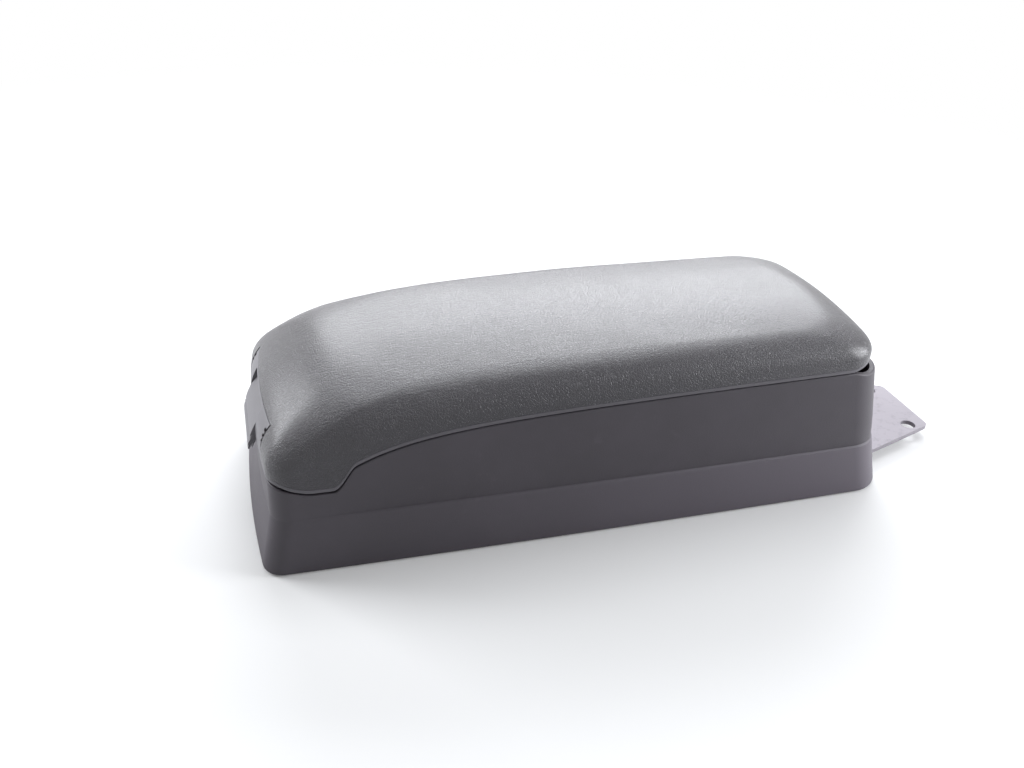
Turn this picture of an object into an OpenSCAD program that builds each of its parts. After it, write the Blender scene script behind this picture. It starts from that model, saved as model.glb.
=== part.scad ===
// Padded centre armrest with a storage bin, a hinged lid and a latch.
// X runs to the rear of the vehicle, Y across it, Z up. The origin is the middle of the housing's foot.

/* [Housing] */
// Length of the housing at its foot
box_len = 336; // [320:1:360]
// Width of the housing at its foot
box_w = 130; // [126:1:140]
// Wall thickness of the housing
box_wall = 3; // [2.4:0.1:3.6]
// Height of the crease along the sides
crease_z = 28; // [20:1:32]
// How far the sides flare out below the crease
side_flare = 3.7; // [2:0.1:5]
// How far the front wall flares out below the crease
front_flare = 5.5; // [4:0.1:6]
// How far the rear wall leans forward from foot to rim
rear_lean = 17; // [14:0.5:18]
// Radius of the two rear corners
corner_r = 28; // [24:1:32]
// Radius of the two front corners
front_corner_r = 14; // [12:1:20]

/* [Seam] */
// Height of the seam at the rear, where it levels out
seam_top = 75; // [74:0.1:75.5]
// Height of the seam at the dropped front corners
seam_corner_z = 41.2; // [41:0.1:43]
// Height of the seam across the front
seam_front_z = 46; // [45:0.1:46.5]
// Open gap between lid and housing along the seam
seam_gap = 0.8; // [0.5:0.1:1.2]

/* [Lid] */
// How much shorter the lid is than the housing's foot
lid_short = 28; // [26.5:0.5:29.5]
// How far the lid's sides stand in from the housing's foot
lid_side_in = 4; // [3.5:0.25:5]
// Height of the padded shoulder at the rear half
shoulder_z = 90.5; // [89:0.5:94]
// Rise of the crown above the shoulder
crown = 5; // [2:0.5:8]
// Roll of the front edge, measured along the length
front_roll = 48; // [44:1:52]
// Roll of the long edges, measured across
side_roll = 16; // [14:0.5:18]
// Roll of the rear edge
rear_roll = 22; // [18:1:26]
// Height of the hard lip below the skin
lip_h = 2.2; // [1.6:0.1:2.8]
// Thickness of the grained skin
skin_t = 1.2; // [0.9:0.1:1.4]
// Thickness of the foam at the sides
foam_side = 2.2; // [1.8:0.1:2.4]
// Thickness of the foam on top
foam_top = 6; // [4:0.5:6.5]
// Thickness of the hard lid shell
shell_t = 2.2; // [1.8:0.1:2.4]

/* [Bin] */
// Wall of the storage tub
bin_wall = 2.5; // [2:0.1:3]
// How far the tub's sides stand in from the housing's foot
bin_side_in = 15; // [14.5:0.5:19]
// How far the tub's rim lies below the seam
bin_drop = 3; // [2.8:0.1:5]
// Underside of the tub above the foot
bin_floor_z = 11; // [10.5:0.5:16]
// Thickness of the mat
mat_t = 2; // [1:0.5:4]

/* [Mounting tongue] */
// How far the tongue reaches behind the housing's foot
tongue_reach = 53; // [37:1:72]
// Distance between the two bolt holes
tongue_pitch = 40; // [32:1:42]
// Diameter of the bolt holes
tongue_hole_d = 8.5; // [6:0.5:10]
// Thickness of the steel plate
plate_t = 2.5; // [1.5:0.5:3]
// Height of the plate's underside above the foot
plate_z = 5; // [4:0.5:5.5]

/* [Hinge] */
// Diameter of the hinge pin
hinge_pin_d = 5; // [4:0.25:5.5]
// Height of the hinge pin
hinge_z = 78; // [77.6:0.1:78.4]
// Thickness of the hinge steel
hinge_t = 2.5; // [2:0.1:2.8]
// Half the distance between the outer faces of the leaf's ears
leaf_half = 26; // [22:0.5:27]

/* [Latch] */
// Width of the latch paddle
paddle_w = 36; // [28:1:40]
// Diameter of the latch pin
latch_pin_d = 4; // [3:0.25:4.5]
// Reach of the hook's nose toward the striker
hook_nose = 2.8; // [2:0.1:3.5]
// Thickness of the striker plate
striker_t = 1.5; // [1:0.1:1.8]

/* [Hidden] */
$fn = 48;

// Running clearance of pins, and the small gap left between seated parts
fit = 0.03;
seat = 0.1;

// Housing ends
box_front = -box_len / 2;
box_rear = box_len / 2;
side_bow = 2;
end_bow = 2;
front_bow = 2.5;
foot_round = 2;
rim_round = 1;
floor_t = 3;

// Lid ends: the lid's front stands flush with the housing's upper front wall
lid_len = box_len - lid_short;
lid_w = box_w - 2 * lid_side_in;
lid_front = box_front + front_flare - 0.5;
lid_rear = lid_front + lid_len;
shell_out = skin_t + foam_side + 0.4;
shell_in = shell_out + shell_t;
top_out = skin_t + foam_top + 0.4;
top_in = top_out + shell_t;

// The seam steps up from the dropped corner behind this point
step_x0 = lid_front + 30.5;
step_x1 = step_x0 + 11;
front_turn = lid_front + 22.5;

// Hinge
hinge_x = lid_rear - 4;
pin_r = hinge_pin_d / 2;
bush_r = pin_r + 1.1;
ear_r = bush_r + 2;
bracket_half = leaf_half + 1 + hinge_t;
hinge_plate_x = hinge_x - 5.5;
hinge_screw_y = leaf_half - 6;
hinge_window = bracket_half + 2;
hinge_screw_z = [hinge_z - 27, hinge_z - 17];
hinge_plate_z = [hinge_z - 34, hinge_z - 10.5];
hinge_hole_y = hinge_screw_y - 9;

// Sampling of the lid's layers along the side and round each corner
lid_ns = 17;
lid_na = 5;
side_span = lid_len - corner_r - end_bow - front_bow - front_corner_r - 0.5;

// Latch
latch_x = lid_front + 17.5;
latch_z = seam_front_z + 15.5;
latch_pin_r = latch_pin_d / 2;
bezel_top = latch_z + 3.5;
bezel_bottom = seam_front_z + seam_gap + lip_h + 0.2;
bezel_half = lid_w / 2 - 24;
window_top = bezel_top - 1.1;
paddle_half = paddle_w / 2;
cheek_t = 3;
hub_r = latch_pin_r + 2;
rib_half = 5;
bezel_ear_t = 3.5;
bezel_t = 2.8;
bezel_screw_y = bezel_half - 8;
bezel_screw_z = latch_z - 4.5;
bezel_boss = 7;
bezel_seat_x = lid_front + bezel_boss + 2.6;
bezel_ear_in = paddle_half + 0.5;

// Front deck behind the housing's front wall, which carries the striker
deck_top = seam_corner_z - 2.2;
deck_t = 3;
deck_rear = lid_front + 53;
striker_front = latch_x + hook_nose + 0.1;
hook_gap = 0.3;
striker_half = 15;
striker_rear = striker_front + 14.8;
hook_half = 5;
hook_top = deck_top - 0.3;
slot_half = hook_half + 3.5;

// Storage tub, which hangs by its flange on the housing's side ribs
bin_w = box_w - 2 * bin_side_in;
bin_front = deck_rear + 1.5;
bin_rear = hinge_plate_x - 9.5;
bin_r = 16;
flange_t = 2;
flange_out = 4;
bin_floor_t = 2.5;
pillar_x = [bin_front + 24, bin_front + 120];
pillar_y = bin_w / 2 - 20;
rib_x = [for (t = [0.17, 0.38, 0.59, 0.8, 0.95]) mix(bin_front, bin_rear, t)];
bump_x = [rib_x[1], rib_x[3]];
bump_y = bin_w / 2 + 1;
deck_rib_y = box_w / 2 - 25;
striker_screw_y = striker_half - 6;

// Mounting plate
boss_h = plate_z - floor_t;
tongue_x = box_rear + tongue_reach;
bracket_x = [box_rear - 93, box_rear - 38];
bracket_y = box_w / 2 - 33;
plate_front = box_rear - 110;
plate_half = box_w / 2 - 21.5;
tip_half = tongue_pitch / 2 + 4;
hole_x = tongue_x - 12;
tongue_root = box_rear - 10;

// Screws under the lid
leaf_x0 = hinge_x - 46;
leaf_x1 = hinge_x - 8;
leaf_z = hinge_z - 2;
leaf_screw_x = [hinge_x - 36, hinge_x - 19];
leaf_screw_y = leaf_half - 11;
panel_top = seam_top;
panel_t = 2;
panel_front = lid_front + 60.5;
panel_rear = hinge_x - 12;
lid_screw_x = [panel_front + 29, panel_front + 124, panel_rear - 31];
lid_screw_y = lid_w / 2 - 23;

function smooth(t) = let (c = min(1, max(0, t))) c * c * (3 - 2 * c);
function soft_max(a, b, k) = (a + b + sqrt((a - b) * (a - b) + k * k)) / 2;
function mix(a, b, t) = a + (b - a) * t;

// Long rising line of the seam along the sides
function seam_rise(x) = let (d = x - step_x0 - 14)
    seam_top - 10 * exp(-d / 26) - 10 * exp(-d / 130);
// Edge of the seam: front, dropped corner, step and long rise
function seam_low(x) = mix(seam_corner_z, seam_front_z, smooth((front_turn - x) / 20));
function seam_z(x) = mix(seam_low(x), seam_rise(x), smooth((x - step_x0) / (step_x1 - step_x0)));
// Lower edge of the lid, which lifts away from the housing at the rear corners
function lid_edge(x) = seam_z(x) + seam_gap + 2.6 * smooth((x - hinge_x + 16) / 16);
// Height where the lid's sides start to roll in
function lid_base(x) = soft_max(seam_rise(x), lid_edge(x), 5);
// Height of the padded shoulder along the lid
function lid_shoulder(x) = let (d = soft_max(x - lid_front - front_roll, 0, 14) + 3.5)
    shoulder_z - 14 * exp(-d / 50);

// Half of a plan outline from the front middle to the rear middle: bowed ends, round corners, bowed side
function half_outline(xf, xr, hw, rxf, rxr, ryf, ryr, ns, na) =
    let (sb = side_bow / 2, eb = end_bow, fb = front_bow, yf = hw - sb - ryf, yr = hw - sb - ryr,
         xa = xf + fb + rxf, xb = xr - eb - rxr, xm = (xa + xb) / 2, hl = (xb - xa) / 2,
         span = ns > 14 ? min(xb - xa, side_span) : xb - xa)
    concat(
        [for (t = [0, 0.5]) [xf + fb * t * t, yf * t]],
        [for (i = [0:na]) let (a = 90 * i / na) [xa - rxf * cos(a), yf + ryf * sin(a)]],
        [for (j = [1:ns - 1]) let (x = xa + span * pow(j / ns, 2), q = (x - xm) / hl)
            [x, hw - sb * q * q]],
        [for (i = [0:na]) let (a = 90 * i / na) [xb + rxr * sin(a), yr + ryr * cos(a)]],
        [for (t = [0.5, 0]) [xr - eb * t * t, yr * t]]);
function mirrored(half) = concat(half, [for (i = [len(half) - 2:-1:1]) [half[i].x, -half[i].y]]);

// Closed skin over a stack of like outlines, capped at both ends by level strips
module loft(rings) {
    n = len(rings[0]);
    m = len(rings);
    h = n / 2;
    sides = [for (k = [0:m - 2]) for (i = [0:n - 1]) let (j = (i + 1) % n, a = k * n)
        each [[a + i, a + j, a + n + j], [a + i, a + n + j, a + n + i]]];
    cap = concat([[0, 1, n - 1], [h - 1, h, h + 1]],
        [for (i = [1:h - 2]) [i, i + 1, n - i - 1, n - i]]);
    bottom = [for (f = cap) [for (i = [len(f) - 1:-1:0]) f[i]]];
    top = [for (f = cap) [for (v = f) v + (m - 1) * n]];
    polyhedron(points = [for (r = rings) each r], faces = concat(bottom, sides, top), convexity = 8);
}

// Rim of the tub, which follows the seam
function bin_rim(x) = seam_z(x) - bin_drop;
function bin_outline(grow) = let (r = bin_r + grow)
    mirrored(half_outline(bin_front - grow, bin_rear + grow, bin_w / 2 + grow, r, r, r, r, 8, 4));
function bin_ring(grow, z) = [for (p = bin_outline(grow)) [p.x, p.y, z]];
function bin_rim_ring(grow, drop) = [for (p = bin_outline(grow)) [p.x, p.y, bin_rim(p.x) - drop]];

// Housing outline at a height, moved in by a wall
function side_at(z) = box_w / 2 - side_flare * min(1, z / crease_z) - 1.1 * max(0, (z - crease_z) / 47);
function front_at(z) = box_front + front_flare * min(1, z / crease_z);
function rear_at(z) = box_rear - rear_lean * z / seam_top;
function box_outline(z, wall, ns = 17, na = 5) =
    let (f = front_corner_r - wall, r = corner_r - wall)
    mirrored(half_outline(front_at(z) + wall, rear_at(z) - wall, side_at(z) - wall, f, r, f, r, ns, na));
function box_ring(z, wall, ns = 17, na = 5) = [for (p = box_outline(z, wall, ns, na)) [p.x, p.y, z]];
// A ring whose height follows the seam, less a drop, taken at the outline of the local height
function rim_ring(drop, wall, ns = 17, na = 5) =
    let (low = box_outline(seam_corner_z, wall, ns, na), high = box_outline(seam_top, wall, ns, na))
    [for (i = [0:len(low) - 1])
        let (z = seam_z(low[i].x) - drop, t = (z - seam_corner_z) / (seam_top - seam_corner_z))
        [mix(low[i].x, high[i].x, t), mix(low[i].y, high[i].y, t), z]];

// One ring of the lid: turn is the angle of the roll, shrink closes the crown, inset and drop are depths
function lid_outline(turn, shrink, inset, ns, na) =
    let (k = 1 - cos(turn), s = 1 - shrink,
         hw = mix(6, lid_w / 2 - inset - (side_roll - inset) * k, s),
         r = corner_r - inset, f = front_corner_r + 0.5 - inset, q = mix(0.9, 1, s),
         ryf = max(4.5, min(f + 14 * k, hw - 2)) * q, ryr = max(4.5, min(r, hw - 2)) * q,
         xf = lid_front + inset + (front_roll - inset) * k + 34 * shrink,
         xr = lid_rear - inset - (rear_roll - inset) * k - 34 * shrink)
    mirrored(half_outline(xf, xr, hw, f + 22 * k, r, ryf, ryr, ns, na));
function lid_ring(turn, shrink, inset, drop, lift, ns, na) =
    [for (p = lid_outline(turn, shrink, inset, ns, na))
        let (b = lid_base(p.x) + lift, y = p.y / (lid_w / 2),
             rise = lid_shoulder(p.x) - b + crown * (1 - y * y) - drop)
        [p.x, p.y, b + rise * sin(turn)]];
function lid_edge_ring(inset, lift, ns, na) =
    [for (p = lid_outline(0, 0, inset, ns, na)) [p.x, p.y, lid_edge(p.x) + lift]];
function lid_rings(inset, drop, lift, ns, na, turns, shrinks) = concat(
    [lid_edge_ring(inset, lift, ns, na)],
    [for (t = turns) lid_ring(t, 0, inset, drop, lift + 1, ns, na)],
    [for (u = shrinks) lid_ring(90, u, inset, drop, lift + 1, ns, na)]);
function reversed(v) = [for (i = [len(v) - 1:-1:0]) v[i]];

fine_turns = [0, 14, 30, 46, 62, 76, 90];
coarse_turns = [0, 22, 45, 68, 90];
crown_steps = [0.35, 0.7, 1];

// Solid bounded by a lid surface, used to trim what lies inside it
module lid_solid(inset, drop, ns = 12, na = 4, turns = coarse_turns)
    loft(lid_rings(inset, drop, 0, ns, na, turns, crown_steps));

// Cylinder along Y, centred on y
module y_rod(r, l, x, z, y = 0) translate([x, y, z]) rotate([90, 0, 0]) cylinder(r = r, h = l, center = true);
// Slab along Y from an XZ outline
module y_slab(points, y0, y1) translate([0, y1, 0]) rotate([90, 0, 0]) linear_extrude(y1 - y0) polygon(points);
// Upright block from two corners
module block(a, b) translate(a) cube(b - a);
module both_sides() { children(); mirror([0, 1, 0]) children(); }

// Round-cornered plate with true arcs
module round_rect(x0, x1, half, r) {
    translate([x0 + r, -half]) square([x1 - x0 - 2 * r, 2 * half]);
    translate([x0, r - half]) square([x1 - x0, 2 * half - 2 * r]);
    for (x = [x0 + r, x1 - r], y = [r - half, half - r]) translate([x, y]) circle(r);
}

// Pan-head screw pointing up from its seat, head below
module screw_up(d, l, head_r, head_h) {
    cylinder(r = d / 2, h = l);
    translate([0, 0, -head_h]) cylinder(r1 = head_r * 0.8, r2 = head_r, h = head_h);
}

module console_box() color("#46424a") {
    difference() {
        union() {
            loft(concat(
                [box_ring(0, foot_round), box_ring(foot_round, 0), box_ring(crease_z, 0)],
                [rim_ring(rim_round + seat, 0), rim_ring(seat, rim_round * 0.8)],
                [rim_ring(seat, box_wall - 0.6), rim_ring(rim_round, box_wall)],
                [box_ring(crease_z, box_wall), box_ring(floor_t, box_wall)]));
            intersection() {
                loft([box_ring(0, box_wall / 2, 8, 3), box_ring(crease_z, box_wall / 2, 8, 3),
                      box_ring(deck_top + 1, box_wall / 2, 8, 3)]);
                union() {
                    block([box_front, -box_w, deck_top - deck_t], [deck_rear, box_w, deck_top]);
                    for (y = [-deck_rib_y, deck_rib_y])
                        block([box_front, y - 1, 1], [deck_rear - 4, y + 1, deck_top - 1]);
                }
            }
            both_sides() for (x = rib_x)
                translate([x - 1, 0, 0]) rotate([90, 0, 90]) linear_extrude(2)
                    polygon([[bin_w / 2 + 0.3, crease_z], [side_at(crease_z) - box_wall / 2, crease_z],
                             [side_at(bin_rim(x)) - box_wall / 2, bin_rim(x - 1) - flange_t - seat],
                             [bin_w / 2 + 0.3, bin_rim(x - 1) - flange_t - seat]]);
            both_sides() y_slab([for (p = [[0, 1], [1, 1], [1, 0], [0, 0]])
                                    let (z = hinge_plate_z[p[0]] + 1 - 1.5 * p[0])
                                    [p[1] == 1 ? hinge_plate_x + hinge_t : rear_at(z) - box_wall / 2, z]],
                                hinge_screw_y - 6, hinge_screw_y + 6);
            for (x = pillar_x, y = [-pillar_y, pillar_y])
                translate([x, y, floor_t - 1]) cylinder(r = 5, h = bin_floor_z - floor_t + 1 - seat);
            for (x = bracket_x, y = [-bracket_y, bracket_y])
                translate([x, y, floor_t - 1]) cylinder(r = 6, h = boss_h + 1);
            for (y = [-striker_screw_y, striker_screw_y])
                translate([striker_rear - 6, y, deck_top - 10]) cylinder(r = 4, h = 8);
        }
        // Slot for the tongue in the rear wall
        block([box_rear - 20, -plate_half - 1, plate_z - 1.4],
              [box_rear + 5, plate_half + 1, plate_z + plate_t + 1.5]);
        // Slot in the deck for the hook
        block([lid_front + 5, -slot_half, deck_top - deck_t - 1],
              [striker_front + 1.5, slot_half, deck_top + 1]);
        // Pilot holes
        for (x = pillar_x, y = [-pillar_y, pillar_y])
            translate([x, y, floor_t - 0.5]) cylinder(r = 1.5, h = bin_floor_z);
        for (x = bracket_x, y = [-bracket_y, bracket_y])
            translate([x, y, 0.8]) cylinder(r = 2.52, h = plate_z);
        for (y = [-striker_screw_y, striker_screw_y])
            translate([striker_rear - 6, y, deck_top - 9]) cylinder(r = 1.52, h = 12);
        for (z = hinge_screw_z, y = [-hinge_screw_y, hinge_screw_y])
            translate([hinge_plate_x, y, z]) rotate([0, 90, 0]) cylinder(r = 2.02, h = 13);
    }
}

module bin_liner() color("#2e2d31") difference() {
    loft([bin_ring(0, bin_floor_z), bin_rim_ring(0, flange_t), bin_rim_ring(flange_out, flange_t),
          bin_rim_ring(flange_out, 0), bin_rim_ring(-bin_wall, 0),
          bin_ring(-bin_wall, bin_floor_z + bin_floor_t)]);
    for (x = pillar_x, y = [-pillar_y, pillar_y]) translate([x, y, bin_floor_z - 1]) {
        cylinder(r = 1.8, h = 5);
        translate([0, 0, 1.2]) cylinder(r1 = 1.8, r2 = 4.4, h = 2.4);
    }
}

module bin_mat() color("#1d1c1f") translate([0, 0, bin_floor_z + bin_floor_t + seat]) {
    edge = bin_wall + 0.6;
    linear_extrude(mat_t) round_rect(bin_front + edge + front_bow, bin_rear - edge - end_bow,
                                     bin_w / 2 - edge - side_bow / 2, bin_r - edge);
}

module liner_screws() color("#9a9aa0") for (x = pillar_x, y = [-pillar_y, pillar_y])
    translate([x, y, bin_floor_z]) {
        translate([0, 0, 3 - bin_floor_z + 2]) cylinder(r = 1.5, h = bin_floor_z - 4);
        translate([0, 0, 0.2]) cylinder(r1 = 1.5, r2 = 4, h = 2.2);
    }

// Sheet steel base plate, whose tongue tapers to two bolt holes behind the housing
module mount_bracket() color("#a9a5ad") difference() {
    translate([0, 0, plate_z]) linear_extrude(plate_t) union() {
        round_rect(plate_front, tongue_root + 4, plate_half, 8);
        polygon([[tongue_root - 10, -plate_half], [tongue_root, -plate_half], [tongue_x - 4, -tip_half],
                 [tongue_x, 4 - tip_half], [tongue_x, tip_half - 4], [tongue_x - 4, tip_half],
                 [tongue_root, plate_half], [tongue_root - 10, plate_half]]);
        for (s = [-1, 1]) translate([tongue_x - 4, s * (tip_half - 4)]) circle(4);
    }
    for (s = [-1, 1]) translate([hole_x, s * tongue_pitch / 2, plate_z - 1])
        cylinder(r = tongue_hole_d / 2, h = plate_t + 2);
    for (x = bracket_x, y = [-bracket_y, bracket_y]) translate([x, y, plate_z - 1])
        cylinder(r = 2.75, h = plate_t + 2);
}

module bracket_screws() color("#8f8f96") for (x = bracket_x, y = [-bracket_y, bracket_y])
    translate([x, y, 0]) {
        translate([0, 0, 1]) cylinder(r = 2.5, h = plate_z + plate_t - 1 + seat);
        translate([0, 0, plate_z + plate_t + 0.02]) cylinder(r1 = 4.6, r2 = 3.8, h = 2.4);
    }

// Steel bracket on the housing's rear wall with two ears for the hinge pin
module hinge_bracket() color("#77767c") difference() {
    union() {
        block([hinge_plate_x, -bracket_half, hinge_plate_z[0]],
              [hinge_plate_x + hinge_t, bracket_half, hinge_plate_z[1]]);
        for (s = [-1, 1]) translate([0, s * (bracket_half - hinge_t / 2) + hinge_t / 2, 0])
            rotate([90, 0, 0]) linear_extrude(hinge_t) hull() {
                translate([hinge_x, hinge_z]) circle(ear_r);
                translate([hinge_plate_x, hinge_z - 24]) square([hinge_t + 1, 12]);
            }
    }
    y_rod(bush_r + 0.01, 3 * bracket_half, hinge_x, hinge_z);
    for (z = hinge_screw_z, y = [-hinge_screw_y, hinge_screw_y])
        translate([hinge_plate_x - 1, y, z]) rotate([0, 90, 0]) cylinder(r = 2.3, h = hinge_t + 2);
    block([hinge_plate_x - 1, -hinge_hole_y, hinge_plate_z[0] + 5],
          [hinge_plate_x + hinge_t + 1, hinge_hole_y, hinge_plate_z[1] - 5.5]);
}

module hinge_bracket_screws() color("#8f8f96")
    for (z = hinge_screw_z, y = [-hinge_screw_y, hinge_screw_y])
        translate([hinge_plate_x, y, z]) rotate([0, 90, 0]) {
            translate([0, 0, -0.1]) cylinder(r = 2, h = 12);
            translate([0, 0, -2.2]) cylinder(r1 = 3, r2 = 3.8, h = 2.2 - 0.02);
        }

// Flanged nylon bushes pressed into the bracket's ears
module hinge_bushes() color("#d8d4cc") both_sides() difference() {
    union() {
        y_rod(bush_r, hinge_t + 0.6, hinge_x, hinge_z, leaf_half + 1 + (hinge_t - 0.6) / 2);
        y_rod(bush_r + 1.4, 0.8, hinge_x, hinge_z, leaf_half + 0.56);
    }
    y_rod(pin_r + fit, 20, hinge_x, hinge_z, leaf_half);
}

module hinge_pin() color("#b9b9be") {
    y_rod(pin_r, 2 * bracket_half + 2, hinge_x, hinge_z);
    both_sides() translate([hinge_x, bracket_half + 1, hinge_z]) rotate([-90, 0, 0])
        cylinder(r1 = pin_r, r2 = pin_r - 0.6, h = 0.6);
}

// Steel leaf under the lid, with the two ears that hold the pin
module hinge_leaf() color("#77767c") difference() {
    union() {
        block([leaf_x0, -leaf_half, leaf_z], [leaf_x1, leaf_half, leaf_z + hinge_t]);
        for (s = [-1, 1]) translate([0, s * (leaf_half - hinge_t / 2) + hinge_t / 2, 0])
            rotate([90, 0, 0]) linear_extrude(hinge_t) hull() {
                translate([hinge_x, hinge_z]) circle(ear_r - 0.3);
                translate([leaf_x1 - 22, leaf_z]) square([18, hinge_t + 2]);
            }
    }
    y_rod(pin_r + 0.01, 3 * leaf_half, hinge_x, hinge_z);
    for (x = leaf_screw_x, y = [-leaf_screw_y, leaf_screw_y])
        translate([x, y, leaf_z - 1]) cylinder(r = 2.3, h = hinge_t + 2);
}

module hinge_leaf_screws() color("#8f8f96") for (x = leaf_screw_x, y = [-leaf_screw_y, leaf_screw_y])
    translate([x, y, leaf_z - 0.02]) screw_up(4, 8.2, 3.8, 2.2);

// Window through the lid's front for the bezel or the paddle
module front_window(half, z0, z1) block([lid_front - 10, -half, z0], [lid_front + 34, half, z1]);
// Notch in the lid's rear edge for the hinge ears
module hinge_notch(grow) block([hinge_x - 9 - grow, -hinge_window - grow, hinge_z - 12],
                               [hinge_x + 20, hinge_window + grow, hinge_z + ear_r + 0.6 + grow]);

// Hard carrier of the lid with the visible lip at its lower edge
module lid_shell() color("#55515a") difference() {
    union() {
        loft(concat(
            reversed(lid_rings(shell_in, top_in, 0, lid_ns, lid_na, coarse_turns, crown_steps)),
            [lid_edge_ring(0.5, 0, lid_ns, lid_na), lid_edge_ring(0, 0.5, lid_ns, lid_na)],
            [lid_edge_ring(0, lip_h - seat, lid_ns, lid_na)],
            [lid_edge_ring(shell_out, lip_h - seat, lid_ns, lid_na)],
            lid_rings(shell_out, top_out, lip_h, lid_ns, lid_na, coarse_turns, crown_steps)));
        // Screw bosses that reach down from the inner face
        intersection() {
            lid_solid(shell_out + 0.6, top_out + 0.6);
            union() {
                for (x = lid_screw_x, y = [-lid_screw_y, lid_screw_y])
                    translate([x, y, panel_top + seat]) cylinder(r = 4, h = 30);
                for (x = leaf_screw_x, y = [-leaf_screw_y, leaf_screw_y])
                    translate([x, y, leaf_z + hinge_t + seat]) cylinder(r = 5, h = 30);
            }
        }
    }
    front_window(bezel_ear_in + bezel_ear_t + 1, bezel_bottom - 0.5, bezel_top + 1.5);
    hinge_notch(0);
    for (s = [-1, 1]) translate([bezel_seat_x, s * bezel_screw_y, bezel_screw_z]) rotate([0, 90, 0]) {
        cylinder(r = 3.4, h = 12);
        translate([0, 0, -12]) cylinder(r = 1.6, h = 13);
        translate([0, 0, -12]) cylinder(r = 4.2, h = 9.6);
    }
    for (x = lid_screw_x, y = [-lid_screw_y, lid_screw_y])
        translate([x, y, panel_top - 1]) cylinder(r = 1.27, h = 6.2);
    for (x = leaf_screw_x, y = [-leaf_screw_y, leaf_screw_y])
        translate([x, y, leaf_z]) cylinder(r = 2.02, h = 8.6);
}

module lid_foam() color("#c9b98a") difference() {
    loft(concat(
        reversed(lid_rings(shell_out - 0.75, top_out - 0.75, lip_h + 0.3, lid_ns, lid_na, coarse_turns,
                           crown_steps)),
        lid_rings(skin_t + 0.65, skin_t + 0.65, lip_h + 0.3, lid_ns, lid_na, fine_turns, crown_steps)));
    front_window(bezel_half + 0.5, bezel_bottom - 2, bezel_top + 0.5);
    hinge_notch(0.6);
}

module lid_cover() color("#57545c") difference() {
    loft(concat(
        reversed(lid_rings(skin_t, skin_t, lip_h, lid_ns, lid_na, fine_turns, crown_steps)),
        lid_rings(0, 0, lip_h, lid_ns, lid_na, fine_turns, crown_steps)));
    front_window(bezel_half + 0.3, bezel_bottom - 2, bezel_top + 0.3);
    hinge_notch(0);
}

// Trim plate that closes the lid's underside, cut back round the hinge leaf
module lid_inner_panel() color("#3a383d") difference() {
    intersection() {
        lid_solid(shell_in + 0.4, top_in + 0.4);
        block([panel_front, -lid_w, panel_top - panel_t], [panel_rear, lid_w, panel_top]);
    }
    block([leaf_x0 - 3, -leaf_half - 4, panel_top - 5], [panel_rear + 5, leaf_half + 4, panel_top + 5]);
    for (x = lid_screw_x, y = [-lid_screw_y, lid_screw_y])
        translate([x, y, panel_top - panel_t - 1]) cylinder(r = 1.6, h = panel_t + 2);
}

module lid_screws() color("#9a9aa0") for (x = lid_screw_x, y = [-lid_screw_y, lid_screw_y])
    translate([x, y, panel_top - panel_t - 0.02]) screw_up(2.5, 6, 2.8, 1.6);

module bump_stops() color("#1a1a1c") for (x = bump_x, y = [-bump_y, bump_y]) {
    foot = bin_rim(x + 2) + 0.1;
    translate([x, y, foot]) cylinder(r1 = 2, r2 = 2.6, h = panel_top - panel_t - foot - 0.05);
}

// Hard insert in the lid's front: curved face, paddle recess, and ears that hold the latch pin
module latch_bezel() color("#6b6770") difference() {
    union() {
        intersection() {
            difference() {
                lid_solid(0.15, 0.15, 4, lid_na, fine_turns);
                difference() {
                    lid_solid(bezel_t, bezel_t, 4, lid_na, fine_turns);
                    for (s = [-1, 1]) translate([lid_front, s * bezel_screw_y, bezel_screw_z])
                        rotate([0, 90, 0]) cylinder(r = 4, h = bezel_boss);
                }
            }
            block([lid_front - 5, -bezel_half, bezel_bottom], [lid_front + 30, bezel_half, bezel_top]);
        }
        both_sides() y_slab([[lid_front + 2.4, bezel_bottom + 4], [lid_front + 8.4, window_top],
                             [latch_x - 1, window_top + 0.6], [latch_x + 4.5, latch_z + 3],
                             [latch_x + 4.5, latch_z - 3], [latch_x - 1, latch_z - 5],
                             [lid_front + 9, bezel_bottom + 4]],
                            bezel_ear_in, bezel_ear_in + bezel_ear_t);
    }
    block([lid_front - 10, -paddle_half - 0.4, bezel_bottom - 1],
          [lid_front + 34, paddle_half + 0.4, window_top]);
    y_rod(10.4, paddle_w + 0.8, latch_x, latch_z);
    y_rod(latch_pin_r + 0.01, 3 * paddle_w, latch_x, latch_z);
    // Snap slots at the ends of the face
    for (s = [-1, 1], k = [0:2])
        translate([lid_front + 4.5, s * bezel_half, bezel_top - 3 - 2.5 * k])
            cube([14, 4 - 0.8 * k, 1.5], center = true);
    for (s = [-1, 1]) translate([lid_front + 4.5, s * bezel_screw_y, bezel_screw_z]) rotate([0, 90, 0])
        cylinder(r = 1.27, h = 20);
}

module bezel_screws() color("#9a9aa0") for (s = [-1, 1])
    translate([bezel_seat_x, s * bezel_screw_y, bezel_screw_z]) rotate([0, 90, 0]) {
        translate([0, 0, -4.8]) cylinder(r = 1.25, h = 5);
        translate([0, 0, 0.02]) cylinder(r1 = 2.7, r2 = 2.2, h = 1.8);
    }

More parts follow.
